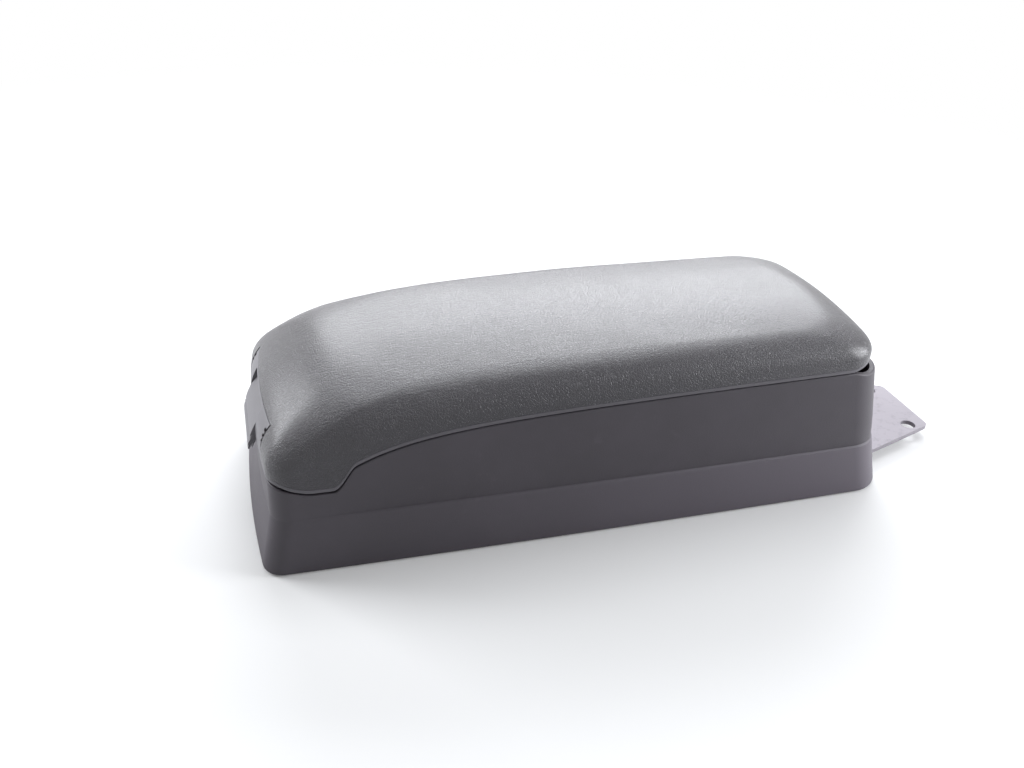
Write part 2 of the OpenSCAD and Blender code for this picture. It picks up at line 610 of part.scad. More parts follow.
// Paddle with a flared lower lip, two cheeks round the pin, and a hook below
function at(dx, dz) = [lid_front + dx, latch_z + dz];
module latch_handle() color("#5f5b64") difference() {
    union() {
        y_slab([at(7.5, 0.8), at(4.9, -1.4), at(3, -3.7), at(1.2, -5.9), at(-0.6, -9.3),
                at(-2.2, -13.5), at(-3.4, -18), at(-3.6, -20.1), at(-3.1, -20.5), at(-2, -20.5),
                at(-1.7, -19.9), at(-1.3, -15.5), at(-0.6, -12.3), at(3.2, -10.7), at(6, -8.5),
                at(8.6, -5.5), at(10.4, -2), at(11.6, 0.9)], -paddle_half, paddle_half);
        both_sides() y_slab([at(8.6, 0.6), at(5, -3), at(6, -8), at(9, -6.5), at(16, -hub_r),
                             at(17.5, 0), at(16.5, 1.6)],
                            paddle_half - cheek_t, paddle_half);
        both_sides() y_rod(hub_r, cheek_t, latch_x, latch_z, paddle_half - cheek_t / 2);
        y_slab([at(8.4, 0.6), at(5, -3), at(6, -8), at(9, -6.5), at(15, -7), at(17.5, 0),
                at(16.5, 1.6)], -rib_half, rib_half);
        y_rod(hub_r, 2 * rib_half, latch_x, latch_z);
        y_slab([[latch_x - 4.4, latch_z - 6], [latch_x - 3.6, hook_top - 4],
                [latch_x - 2.2, hook_top - 4.6], [striker_front - hook_gap, hook_top - 1.6],
                [striker_front - hook_gap, hook_top], [latch_x - 0.2, hook_top],
                [latch_x - 0.2, latch_z - 3]], -hook_half, hook_half);
    }
    y_rod(latch_pin_r + fit, 3 * paddle_w, latch_x, latch_z);
}

module latch_pin() color("#b9b9be")
    y_rod(latch_pin_r, 2 * (bezel_ear_in + bezel_ear_t) + 1, latch_x, latch_z);

// Return spring: a coil round the pin with a leg at each end
spring_wire = 0.6;
spring_r = latch_pin_r + spring_wire + 0.15;
spring_turns = 4.25;
spring_y0 = rib_half + 1;
spring_pitch = 1.5;
function coil_point(a) = [latch_x + spring_r * cos(a), spring_y0 + spring_pitch * a / 360,
                          latch_z + spring_r * sin(a)];
spring_path = concat(
    [[latch_x + spring_r, spring_y0, latch_z - 8]],
    [for (a = [0:24:360 * spring_turns]) coil_point(a)],
    [coil_point(360 * spring_turns) + [-3.9, 0, 0]]);
function unit(v) = v / norm(v);
module latch_spring() color("#c4c4ca") {
    n = len(spring_path);
    rings = [for (i = [0:n - 1])
        let (t = unit(spring_path[min(n - 1, i + 1)] - spring_path[max(0, i - 1)]),
             u = unit(cross(t, [0, 1, 0])), v = cross(t, u))
        [for (k = [0:5]) spring_path[i] + spring_wire * (cos(60 * k) * u + sin(60 * k) * v)]];
    polyhedron(points = [for (r = rings) each r], faces = concat(
        [[0, 1, 2, 3, 4, 5]], [[for (k = [5:-1:0]) 6 * (n - 1) + k]],
        [for (i = [0:n - 2]) for (k = [0:5]) let (j = (k + 1) % 6, a = 6 * i)
            each [[a + k, a + 6 + j, a + j], [a + k, a + 6 + k, a + 6 + j]]]), convexity = 10);
}

// Steel striker on the front deck, with a stiffening flange at its rear
module striker() color("#8d8c92") difference() {
    union() {
        block([striker_front, -striker_half, deck_top + 0.02],
              [striker_rear, striker_half, deck_top + striker_t]);
        block([striker_rear - striker_t, -striker_half, deck_top + 0.02],
              [striker_rear, striker_half, deck_top + 6]);
    }
    for (y = [-striker_screw_y, striker_screw_y])
        translate([striker_rear - 6, y, deck_top - 1]) cylinder(r = 1.8, h = 6);
}

module striker_screws() color("#8f8f96") for (y = [-striker_screw_y, striker_screw_y])
    translate([striker_rear - 6, y, deck_top]) {
        translate([0, 0, -8]) cylinder(r = 1.5, h = 8 + striker_t + 0.02);
        translate([0, 0, striker_t + 0.02]) cylinder(r1 = 3, r2 = 2.4, h = 1.8);
    }

console_box();
bin_liner();
bin_mat();
liner_screws();
mount_bracket();
bracket_screws();
hinge_bracket();
hinge_bracket_screws();
hinge_bushes();
hinge_pin();
hinge_leaf();
hinge_leaf_screws();
lid_shell();
lid_foam();
lid_cover();
lid_inner_panel();
lid_screws();
bump_stops();
latch_bezel();
bezel_screws();
latch_handle();
latch_pin();
latch_spring();
striker();
striker_screws();
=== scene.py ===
"""Padded centre armrest: a moulded housing with a storage tub, a hinged padded lid, a latch and a drilled tongue.

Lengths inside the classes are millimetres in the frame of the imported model: X to the rear, Y across, Z up.
"""

import logging
import math
from dataclasses import dataclass
from enum import Enum
from functools import cached_property
from typing import Iterable, Sequence

import bmesh
import bpy
from mathutils import Matrix, Vector, noise


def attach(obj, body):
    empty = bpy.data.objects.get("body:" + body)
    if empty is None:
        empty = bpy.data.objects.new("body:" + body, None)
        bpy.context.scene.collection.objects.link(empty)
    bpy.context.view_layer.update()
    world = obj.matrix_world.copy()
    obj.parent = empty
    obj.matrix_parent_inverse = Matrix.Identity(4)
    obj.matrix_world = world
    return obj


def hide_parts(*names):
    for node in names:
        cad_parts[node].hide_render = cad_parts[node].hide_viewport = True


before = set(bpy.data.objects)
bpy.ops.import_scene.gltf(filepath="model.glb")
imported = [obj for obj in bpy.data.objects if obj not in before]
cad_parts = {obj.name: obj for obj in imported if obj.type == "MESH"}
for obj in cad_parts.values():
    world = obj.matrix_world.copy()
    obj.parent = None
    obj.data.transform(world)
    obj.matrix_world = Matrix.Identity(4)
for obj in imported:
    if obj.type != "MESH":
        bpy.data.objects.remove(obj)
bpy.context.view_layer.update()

MM = 0.001
RIGHT_ANGLE = math.pi / 2
WHITE = (1.0, 1.0, 1.0, 1.0)
Pair = tuple[float, float]
Point = tuple[float, float, float]
Verts = list[bmesh.types.BMVert]
log = logging.getLogger("armrest")


class Body(Enum):
    """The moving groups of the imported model."""

    HOUSING = "housing"
    LID = "lid"
    LATCH = "latch"


class Axis(Enum):
    """Directions that prisms and turned forms run along."""

    X = "X"
    Y = "Y"
    Z = "Z"


def smooth(t: float) -> float:
    """Ease from 0 to 1 with level ends."""
    c = min(1.0, max(0.0, t))
    return c * c * (3 - 2 * c)


def soft_max(a: float, b: float, k: float) -> float:
    """Larger of two values, rounded over where they meet."""
    return (a + b + math.sqrt((a - b) ** 2 + k * k)) / 2


def mix(a: float, b: float, t: float) -> float:
    """Value between a and b at share t."""
    return a + (b - a) * t


def put(name: str, data: bpy.types.ID) -> bpy.types.Object:
    """Make an object in the scene."""
    made = bpy.data.objects.new(name, data)
    bpy.context.scene.collection.objects.link(made)
    return made


def quarter(steps: int) -> list[float]:
    """Angles from 0 to a right angle."""
    return [RIGHT_ANGLE * i / steps for i in range(steps + 1)]


def pairs(places: Iterable[float], across: float) -> list[Pair]:
    """XY of points at these places on both sides of the middle plane."""
    return [(x, y) for x in places for y in (-across, across)]


def raised(outline: Iterable[Pair], z: float) -> list[Point]:
    """Points of a plan at one height."""
    return [(x, y, z) for x, y in outline]


TUB_SCREWS = pairs((-84.5, 11.5), 30.0)
PLATE_SCREWS = pairs((75.0, 130.0), 32.0)
STRIKER_SCREWS = pairs((-133.8,), 9.0)
LEAF_SCREWS = pairs((105.0, 122.0), 15.0)
PANEL_SCREWS = pairs((-73.5, 21.5, 98.0), 38.0)


# ---- Finishes ----


class Socket:
    """A node output that takes part in Python expressions."""

    def __init__(self, graph: "Graph", output: bpy.types.NodeSocket) -> None:
        """Wrap an output of a graph's node."""
        self.graph = graph
        self.output = output

    def _math(self, operation: str, first: object, second: object) -> "Socket":
        """Add a Math node and return its result."""
        return self.graph.node("ShaderNodeMath", {"operation": operation}, {0: first, 1: second})

    def __add__(self, other: object) -> "Socket":
        """Sum."""
        return self._math("ADD", self, other)

    __radd__ = __add__

    def __mul__(self, other: object) -> "Socket":
        """Product."""
        return self._math("MULTIPLY", self, other)

    __rmul__ = __mul__

    def __sub__(self, other: object) -> "Socket":
        """Difference."""
        return self._math("SUBTRACT", self, other)

    def __rsub__(self, other: object) -> "Socket":
        """Difference with the operands turned round."""
        return self._math("SUBTRACT", other, self)

    def ramp(self, low: float, high: float) -> "Socket":
        """Share of the way from low to high, eased and clamped to 0 and 1."""
        return self.graph.node("ShaderNodeMapRange", {"interpolation_type": "SMOOTHSTEP"},
                               {"Value": self, "From Min": low, "From Max": high})


class Graph:
    """The nodes of one material, or of the world."""

    def __init__(self, name: str, family: bpy.types.bpy_prop_collection | None = None) -> None:
        """Start an empty node tree.

        Args:
            name: Name of the material or world.
            family: Where it is made, if not among the materials.
        """
        self.owner = (bpy.data.materials if family is None else family).new(name)
        self.owner.use_nodes = True
        self.tree = self.owner.node_tree
        self.tree.nodes.clear()

    @cached_property
    def place(self) -> Socket:
        """Object coordinates."""
        return self.node("ShaderNodeTexCoord", {}, {}, "Object")

    def raw(self, kind: str, settings: dict, inputs: dict) -> bpy.types.Node:
        """Make a node.

        Args:
            kind: Blender's type name of the node.
            settings: Properties that are set first.
            inputs: Values or Sockets by input name or number.

        Returns:
            The new node.
        """
        made = self.tree.nodes.new(kind)
        for key, value in settings.items():
            setattr(made, key, value)
        for key, value in inputs.items():
            if isinstance(value, Socket):
                self.tree.links.new(value.output, made.inputs[key])
            else:
                made.inputs[key].default_value = value
        return made

    def node(self, kind: str, settings: dict, inputs: dict, output: object = 0) -> Socket:
        """Make a node and return one of its outputs as a Socket."""
        return Socket(self, self.raw(kind, settings, inputs).outputs[output])

    def split(self) -> list[Socket]:
        """X, Y and Z of the place on the object, in metres."""
        parts = self.raw("ShaderNodeSeparateXYZ", {}, {"Vector": self.place})
        return [Socket(self, output) for output in parts.outputs]

    def noise(self, scale: float, detail: float = 2.0, rough: float = 0.5) -> Socket:
        """Noise on object coordinates, with scale in features per metre."""
        return self.node("ShaderNodeTexNoise", {}, {"Vector": self.place, "Scale": scale,
                                                    "Detail": detail, "Roughness": rough})

    def streaks(self, scale: Point, turn: Point = (0.0, 0.0, 0.0), twist: float = 0.0) -> Socket:
        """Noise that is stretched by a scale per axis, turned and twisted."""
        place = self.node("ShaderNodeMapping", {}, {"Vector": self.place, "Rotation": turn, "Scale": scale})
        return self.node("ShaderNodeTexNoise", {}, {"Vector": place, "Scale": 1.0, "Detail": 3.0, "Distortion": twist})

    def cells(self, scale: float, feature: str) -> Socket:
        """Voronoi distance on object coordinates."""
        return self.node("ShaderNodeTexVoronoi", {"feature": feature}, {"Vector": self.place, "Scale": scale},
                         "Distance")

    def blend(self, share: object, first: object, second: object) -> Socket:
        """Mix two colours by a share."""
        return self.node("ShaderNodeMix", {"data_type": "RGBA"}, {0: share, 6: first, 7: second}, 2)

    def bump(self, height: Socket, distance: float) -> Socket:
        """Normal from a height in metres times distance."""
        return self.node("ShaderNodeBump", {}, {"Height": height, "Distance": distance, "Strength": 1.0})

    def seen(self) -> Socket:
        """1 for rays that only look, from the camera, off gloss or through glass; 0 for those that light."""
        path = self.raw("ShaderNodeLightPath", {}, {})
        camera, gloss, through = (Socket(self, path.outputs[f"Is {ray} Ray"])
                                  for ray in ("Camera", "Glossy", "Transmission"))
        return camera + gloss + through

    def surface(self, kind: str, inputs: dict, output: str = "Material") -> None:
        """End the tree with a shader of a kind, fed by inputs, on a Material or World output."""
        self.raw(f"ShaderNodeOutput{output}", {}, {"Surface": self.node(kind, {}, inputs)})

    def principled(self, **inputs: object) -> bpy.types.Material:
        """End a material with a Principled shader, whose inputs are written with underscores, and return it."""
        self.surface("ShaderNodeBsdfPrincipled", {key.replace("_", " "): value for key, value in inputs.items()})
        return self.owner


def rgba(colour: Sequence[float], gain: float = 1.0) -> tuple[float, float, float, float]:
    """A colour with full alpha, brightened by gain."""
    return (colour[0] * gain, colour[1] * gain, colour[2] * gain, 1.0)


@dataclass(frozen=True)
class GrainedSkin:
    """Synthetic leather: pebbles a millimetre across, parted by fine creases with painted shade in them, duller where
    handled.
    """

    name: str = "grained_skin"
    slot: str = "lid_skin"
    colour: tuple[float, float, float] = (0.029, 0.026, 0.034)
    roughness: float = 0.34
    pebble: float = 780.0
    depth: float = 0.00024

    def build(self) -> bpy.types.Material:
        """Make the material."""
        g = Graph(self.name)
        warp = g.noise(240, 2)
        creases = g.cells(self.pebble, "DISTANCE_TO_EDGE").ramp(0.0, 0.16)
        pores = g.cells(self.pebble * 2.3, "F1").ramp(0.15, 0.6)
        folds = g.streaks((190, 820, 820), (0.0, 0.35, 0.5), 0.6)
        front = 1 - g.split()[0].ramp(-0.14, 0.02)
        height = creases * 0.6 + pores * 0.25 + warp * 0.4 + folds * (0.4 + front * 1.2)
        wear = g.noise(9, 3, 0.6).ramp(0.42, 0.66)
        tone = g.blend(wear, rgba(self.colour, 0.93), rgba(self.colour, 1.1))
        # The crease lines are painted darker, to 0.72 of the colour: painted shade in the grain's creases.
        return g.principled(
            Base_Color=g.blend(creases, rgba(self.colour, 0.72), tone), Normal=g.bump(height, self.depth),
            Roughness=self.roughness + wear * 0.05 + (1 - creases) * 0.12, Specular_IOR_Level=0.5,
            Coat_Weight=0.3, Coat_Roughness=0.3)


@dataclass(frozen=True)
class MouldedPlastic:
    """Injection-moulded plastic with a fine etched grain, a little shinier on worn spots."""

    name: str
    slot: str
    colour: tuple[float, float, float]
    roughness: float = 0.5
    grain: float = 1900.0
    depth: float = 0.00005
    mottle: float = 0.08
    # Height in metres below which the colour is painted lighter, as painted light on the foot band; 0 for none.
    painted_light_band_top: float = 0.0
    shine: float = 0.5

    def build(self) -> bpy.types.Material:
        """Make the material, with painted light below a given height: a lighter foot band, more so towards the rear.
        """
        g = Graph(self.name)
        etched = g.cells(self.grain, "SMOOTH_F1") * 0.7 + g.noise(self.grain * 1.7, 2) * 0.5
        cloud = g.noise(14, 4, 0.62).ramp(0.35, 0.7)
        scuff = g.noise(70, 6, 0.7).ramp(0.6, 0.74)
        tone = g.blend(cloud, rgba(self.colour, 1 - self.mottle), rgba(self.colour, 1 + self.mottle))
        colour = g.blend(scuff * 0.35, tone, rgba(self.colour, 1.35))
        # Painted light: below the given height the colour is painted up to twice as light, more so towards the rear,
        # standing in for the light on the foot band.
        if self.painted_light_band_top:
            along, _, up = g.split()
            low = 1 - up.ramp(self.painted_light_band_top - 0.0006, self.painted_light_band_top + 0.0006)
            colour = g.blend(low * along.ramp(-0.2, 0.2), colour, rgba(self.colour, 2.0))
        return g.principled(Base_Color=colour, Roughness=self.roughness + cloud * 0.06 - scuff * 0.05,
                            Normal=g.bump(etched, self.depth), Specular_IOR_Level=self.shine)


@dataclass(frozen=True)
class Metal:
    """Sheet or turned steel with rolling streaks and a few dull specks."""

    name: str
    slot: str
    colour: tuple[float, float, float]
    roughness: float = 0.35
    metallic: float = 1.0
    speckle: float = 0.4

    def build(self) -> bpy.types.Material:
        """Make the material."""
        g = Graph(self.name)
        streak = g.streaks((60, 900, 900))
        dull = g.noise(160, 5, 0.65).ramp(0.52, 0.72)
        colour = g.blend(dull * self.speckle, rgba(self.colour), rgba(self.colour, 0.62))
        return g.principled(Base_Color=colour, Roughness=self.roughness + streak * 0.16 + dull * 0.15,
                            Metallic=self.metallic, Normal=g.bump(streak + dull * 0.5, 0.00002))


@dataclass(frozen=True)
class Rubber:
    """Soft dull rubber with dust in its pores."""

    name: str = "soft_rubber"
    slot: str = "mat_rubber"
    colour: tuple[float, float, float] = (0.022, 0.022, 0.024)

    def build(self) -> bpy.types.Material:
        """Make the material."""
        g = Graph(self.name)
        pores = g.cells(1500, "F1").ramp(0.1, 0.5)
        dust = g.noise(45, 5, 0.7).ramp(0.55, 0.75)
        colour = g.blend(dust * 0.5, rgba(self.colour), rgba(self.colour, 2.2))
        return g.principled(Base_Color=colour, Roughness=0.82 - dust * 0.08, Normal=g.bump(pores, 0.00006))


@dataclass(frozen=True)
class Foam:
    """Open-cell foam, yellowed a little, with painted shade in its cells."""

    name: str = "cushion_foam"
    slot: str = "foam"
    colour: tuple[float, float, float] = (0.6, 0.53, 0.38)

    def build(self) -> bpy.types.Material:
        """Make the material."""
        g = Graph(self.name)
        pits = g.cells(1100, "F1").ramp(0.0, 0.5)
        # The pits are painted darker, to 0.6 of the colour: painted shade in the foam's cells.
        colour = g.blend(pits, rgba(self.colour, 0.6), rgba(self.colour))
        return g.principled(Base_Color=colour, Roughness=0.95, Normal=g.bump(pits, 0.0003))


class Paint:
    """Every finish of the armrest, built once."""

    def __init__(self) -> None:
        """Build the materials."""
        self.finishes = {
            "skin": GrainedSkin(),
            # The housing's colour is painted lighter below 28.2 mm, more so towards the rear: painted light on the
            # foot band.
            "housing": MouldedPlastic("housing_plastic", "housing_plastic", (0.062, 0.055, 0.066), 0.5,
                                     painted_light_band_top=0.0282, shine=0.38),
            "lip": MouldedPlastic("lid_plastic", "lid_plastic", (0.1, 0.094, 0.108), 0.42),
            "latch": MouldedPlastic("latch_plastic", "latch_plastic", (0.13, 0.124, 0.138), 0.38, 2600, 0.00002),
            "liner": MouldedPlastic("liner_plastic", "liner_plastic", (0.04, 0.038, 0.042), 0.55),
            "nylon": MouldedPlastic("natural_nylon", "bush_nylon", (0.7, 0.68, 0.62), 0.35, 3000, 0.00001),
            "rubber": Rubber(),
            "foam": Foam(),
            "coated": Metal("coated_steel", "bracket_steel", (0.28, 0.26, 0.29), 0.52, 0.1),
            "zinc": Metal("zinc_plated_steel", "hinge_steel", (0.5, 0.5, 0.52), 0.32, 1.0),
            "screw": Metal("screw_steel", "screw_steel", (0.56, 0.56, 0.58), 0.26, 1.0, 0.2),
            "ground": Metal("ground_steel", "pin_steel", (0.66, 0.66, 0.68), 0.2, 1.0, 0.1),
        }
        self.materials = {key: finish.build() for key, finish in self.finishes.items()}


# ---- Shaping tools ----


class Form:
    """A mesh in the making, shaped with bmesh operators, in millimetres."""

    def __init__(self) -> None:
        """Start an empty mesh."""
        self.bm = bmesh.new()

    # -- starting shapes --

    def _extrude(self, faces: list[bmesh.types.BMFace], way: Point) -> None:
        """Extrude faces, keeping them as the far side, and turn the result outwards."""
        grown = bmesh.ops.extrude_face_region(self.bm, geom=faces, use_keep_orig=True)["geom"]
        fresh = [v for v in grown if isinstance(v, bmesh.types.BMVert)]
        bmesh.ops.translate(self.bm, vec=Vector(way), verts=fresh)
        self.outward({f for v in fresh for f in v.link_faces})

    def prism(self, outline: Sequence[Pair], axis: Axis, start: float, end: float) -> None:
        """Add a prism along an axis, from an outline in XY for Z, in XZ for Y and in YZ for X."""
        place = {Axis.X: lambda a, b, h: (h, a, b), Axis.Y: lambda a, b, h: (a, h, b),
                 Axis.Z: lambda a, b, h: (a, b, h)}[axis]
        verts = [self.bm.verts.new(place(*p, start)) for p in outline]
        self._extrude(bmesh.ops.contextual_create(self.bm, geom=verts)["faces"], place(0, 0, end - start))

    def twins(self, outline: Sequence[Pair], near: float, far: float) -> None:
        """Add a prism along Y on each side of the middle plane, between two distances from it."""
        self.prism(outline, Axis.Y, near, far)
        self.prism(outline, Axis.Y, -far, -near)

    def plate(self, outline: Sequence[Pair], holes: Sequence[Point], low: float, high: float) -> None:
        """Add a flat plate between two heights, with round holes given by X, Y and radius."""
        self.first_ring(raised(outline, low))
        for x, y, radius in holes:
            bmesh.ops.create_circle(self.bm, cap_ends=False, radius=radius, segments=36,
                                    matrix=Matrix.Translation((x, y, low)))
        filled = bmesh.ops.triangle_fill(self.bm, edges=self.bm.edges[:], use_beauty=True)["geom"]
        self._extrude([f for f in filled if isinstance(f, bmesh.types.BMFace)], (0, 0, high - low))

    def turned(self, profile: Sequence[tuple], place: Point, axis: Axis = Axis.Z, sides: int = 32,
               closed: bool = False) -> None:
        """Add a turned form.

        Args:
            profile: Radius and height of each ring along the axis, and how deep its six lobes go, if any.
            place: Point on the axis where the height is 0.
            axis: Direction of the axis.
            sides: Facets round it.
            closed: Whether the last ring joins the first, as on a bush.
        """
        where = {Axis.X: lambda a, b, h: (h, a, b), Axis.Y: lambda a, b, h: (b, h, a),
                 Axis.Z: lambda a, b, h: (a, b, h)}[axis]
        rings = []
        for radius, height, *lobe in profile:
            ring = []
            for i in range(sides):
                turn = 2 * math.pi * i / sides
                r = radius * (1 + (lobe[0] if lobe else 0.0) * math.cos(6 * turn))
                point = where(r * math.cos(turn), r * math.sin(turn), height)
                ring.append(tuple(a + b for a, b in zip(place, point)))
            rings.append(ring)
        first, last = self.skin(rings)
        if closed:
            self.bridge(first, last)
        else:
            self.close_flat(first, last)
        self.outward({f for v in first for f in v.link_faces})

    def posts(self, places: Iterable[Pair], profile: Sequence[tuple]) -> None:
        """Add upright turned posts at places, with a profile in heights above the housing's foot."""
        for x, y in places:
            self.turned(profile, (x, y, 0.0))

    def screw(self, seat: Point, axis: Axis, sign: int, shank: float, length: float, head: float, height: float,
              sunk: bool = False) -> None:
        """Add a screw with a chamfered point and a six-lobe recess.

        Args:
            seat: Point on the axis where the head bears.
            axis: Direction of the screw.
            sign: 1 where the head points along the axis, -1 where it points against it.
            shank: Radius of the shank.
            length: Length below the head.
            head: Radius of the head.
            height: Height of the head.
            sunk: Whether the head is countersunk.
        """
        crown = [(head * 0.97, height)] if sunk else [
            (head, 0.0), (head, height * 0.35), (head * 0.97, height * 0.62), (head * 0.88, height * 0.86),
            (head * 0.72, height)]
        socket = head * 0.42
        profile = [(shank * 0.55, -length), (shank * 0.92, -length + shank * 0.8), (shank, -length + shank),
                   (shank, 0.0), *crown, (socket * 1.1, height, 0.12), (socket, height * 0.9, 0.12),
                   (socket * 0.92, height * 0.35, 0.12)]
        self.turned([(r, sign * h, *lobe) for r, h, *lobe in profile], seat, axis, 24)

    # -- skins drawn up ring by ring --

    def first_ring(self, points: Sequence[Point]) -> Verts:
        """Start a skin from a closed ring of points."""
        made = bmesh.ops.create_circle(self.bm, cap_ends=False, radius=1.0, segments=len(points))
        for vert, point in zip(made["verts"], points):
            vert.co = point
        return made["verts"]

    def next_ring(self, ring: Verts, points: Sequence[Point]) -> Verts:
        """Extrude a ring's edges, put the new ring on points in the same order and return it."""
        made = bmesh.ops.extrude_edge_only(self.bm, edges=self.ring_edges(ring))["geom"]
        fresh = {v for v in made if isinstance(v, bmesh.types.BMVert)}
        new = [next(e.other_vert(v) for e in v.link_edges if e.other_vert(v) in fresh) for v in ring]
        for vert, point in zip(new, points):
            vert.co = point
        return new

    def ring_edges(self, ring: Verts) -> list[bmesh.types.BMEdge]:
        """Edges round a ring, in order."""
        return [self.bm.edges.get((v, ring[(i + 1) % len(ring)])) for i, v in enumerate(ring)]

    def skin(self, rings: Sequence[Sequence[Point]]) -> tuple[Verts, Verts]:
        """Draw a skin through rings and return its first and last ring of vertices."""
        first = last = self.first_ring(rings[0])
        for points in rings[1:]:
            last = self.next_ring(last, points)
        return first, last

    def close_level(self, *rings: Verts) -> None:
        """Close mirrored rings by strips across them."""
        for ring in rings:
            half = len(ring) // 2
            edges = self.ring_edges(ring)
            bmesh.ops.bridge_loops(self.bm, edges=edges[1:half - 1] + edges[half + 1:-1])
            for middle in (0, half):
                bmesh.ops.contextual_create(self.bm, geom=[ring[middle - 1], ring[middle], ring[middle + 1]])

    def close_flat(self, *rings: Verts) -> None:
        """Close rings by one flat face each."""
        for ring in rings:
            bmesh.ops.contextual_create(self.bm, geom=ring)

    # -- cuts and edges --

    def cut_box(self, low: Point, high: Point) -> None:
        """Cut away what a mesh has inside a box, leaving clean open edges."""
        for axis in range(3):
            for value in (low[axis], high[axis]):
                normal = Vector((axis == 0, axis == 1, axis == 2))
                near = [f for f in self.bm.faces if self._near(f, low, high, 12.0)]
                geom = list({v for f in near for v in f.verts} | {e for f in near for e in f.edges}) + near
                bmesh.ops.bisect_plane(self.bm, geom=geom, dist=1e-4, plane_co=normal * value, plane_no=normal)
        inside = [f for f in self.bm.faces
                  if all(a < c < b for a, c, b in zip(low, f.calc_center_median(), high))]
        bmesh.ops.delete(self.bm, geom=inside, context="FACES")

    @staticmethod
    def _near(face: bmesh.types.BMFace, low: Point, high: Point, margin: float) -> bool:
        """Whether a face lies close to a box."""
        spans = [(min(v.co[k] for v in face.verts), max(v.co[k] for v in face.verts)) for k in range(3)]
        return all(s[1] > a - margin and s[0] < b + margin for s, a, b in zip(spans, low, high))

    def open_loops(self) -> list[bmesh.types.BMEdge]:
        """Every edge that borders one face."""
        return [e for e in self.bm.edges if len(e.link_faces) == 1]

    def bridge(self, first: Verts, last: Verts) -> None:
        """Join two rings by a band."""
        bmesh.ops.bridge_loops(self.bm, edges=self.ring_edges(first) + self.ring_edges(last))

    def outward(self, seeds: Iterable[bmesh.types.BMFace]) -> None:
        """Turn the shells that hold some faces outwards."""
        shell, waiting = set(), list(seeds)
        while waiting:
            face = waiting.pop()
            if face in shell:
                continue
            shell.add(face)
            waiting += [f for e in face.edges for f in e.link_faces if f not in shell]
        bmesh.ops.recalc_face_normals(self.bm, faces=list(shell))

    def slot(self, low: Point, high: Point) -> None:
        """Cut a box right through a wall and line the opening."""
        self.cut_box(low, high)
        bmesh.ops.bridge_loops(self.bm, edges=self.open_loops())

    def bore(self, x: float, y: float, low: Pair, high: Pair) -> None:
        """Cut an upright hole, given by radius and height at its lower and upper end, and line it."""
        half = max(low[0], high[0]) * 1.1
        self.cut_box((x - half, y - half, low[1] - 0.5), (x + half, y + half, high[1] + 0.5))
        bmesh.ops.subdivide_edges(self.bm, edges=self.open_loops(), cuts=7)
        for vert in bmesh.ops.extrude_edge_only(self.bm, edges=self.open_loops())["geom"]:
            if isinstance(vert, bmesh.types.BMVert):
                radius = low[0] if abs(vert.co.z - low[1]) < abs(vert.co.z - high[1]) else high[0]
                turn = math.atan2(vert.co.y - y, vert.co.x - x)
                vert.co.xy = x + radius * math.cos(turn), y + radius * math.sin(turn)
        bmesh.ops.bridge_loops(self.bm, edges=self.open_loops())

    def seal_notch(self, half: float, top: float) -> None:
        """Close the walls of a notch in the lower edge, which is that wide to both sides and that high."""
        for y in (-half, half):
            ends = [v for e in self.open_loops() for v in e.verts
                    if abs(v.co.y - y) < 0.01 and abs(v.co.z - top) < 0.01]
            self.close_flat(list(dict.fromkeys(ends)))
        for axis, value in ((1, -half), (1, half), (2, top)):
            self.close_flat([e for e in self.bm.edges if len(e.link_faces) < 2
                             and all(abs(v.co[axis] - value) < 0.005 for v in e.verts)])

    def mesh(self, name: str) -> bpy.types.Mesh:
        """Turn the form, which ends here, into a mesh."""
        made = bpy.data.meshes.new(name)
        self.bm.to_mesh(made)
        self.bm.free()
        return made

    def join(self, other: "Form") -> None:
        """Take in another form, which ends here."""
        carrier = other.mesh("carrier")
        self.bm.from_mesh(carrier)
        bpy.data.meshes.remove(carrier)

    def close_loops(self) -> None:
        """Close each open loop by one face."""
        left = set(self.open_loops())
        while left:
            loop, waiting = [], [left.pop()]
            while waiting:
                edge = waiting.pop()
                loop.append(edge)
                near = [e for v in edge.verts for e in v.link_edges if e in left]
                left.difference_update(near)
                waiting += near
            self.close_flat(loop)

    def wall(self, thickness: float) -> None:
        """Give an open skin a wall of that thickness towards its inside."""
        bmesh.ops.solidify(self.bm, geom=self.bm.faces[:], thickness=thickness)

    def round_edges(self, width: float, segments: int = 2, angle: float = 50.0) -> None:
        """Bevel a closed form's edges that turn by more than an angle in degrees."""
        edges = [e for e in self.bm.edges
                 if len(e.link_faces) == 2 and e.calc_face_angle(0.0) > math.radians(angle)]
        bmesh.ops.bevel(self.bm, geom=edges, offset=width, offset_type="OFFSET", segments=segments,
                        profile=0.5, affect="EDGES", material=-1, clamp_overlap=True)


def filleted(corners: Sequence[Point], steps: int = 6) -> list[Pair]:
    """Outline with a true arc at each corner, which is given by XY and radius."""
    points = []
    for i, (x, y, radius) in enumerate(corners):
        here = Vector((x, y))
        before = (Vector(corners[i - 1][:2]) - here).normalized()
        after = (Vector(corners[(i + 1) % len(corners)][:2]) - here).normalized()
        half = before.angle(after) / 2
        reach = radius / math.tan(half)
        centre = here + (before + after).normalized() * (radius / math.sin(half))
        start, end = here + before * reach - centre, here + after * reach - centre
        for k in range(steps + 1):
            spoke = start.normalized().slerp(end.normalized(), k / steps) * radius
            points.append(tuple(centre + spoke))
    return points


def flowing(points: Sequence[Sequence[float]], steps: int = 5) -> list[tuple[float, ...]]:
    """Smooth curve through points."""
    made = []
    for i in range(len(points) - 1):
        a, b, c, d = (points[max(0, i - 1)], points[i], points[i + 1], points[min(len(points) - 1, i + 2)])
        for k in range(steps):
            t = k / steps
            made.append(tuple(0.5 * (2 * q + (r - p) * t + (2 * p - 5 * q + 4 * r - s) * t * t
                                     + (3 * q - p - 3 * r + s) * t ** 3) for p, q, r, s in zip(a, b, c, d)))
    made.append(tuple(points[-1]))
    return made


# ---- Shared lines and forms ----


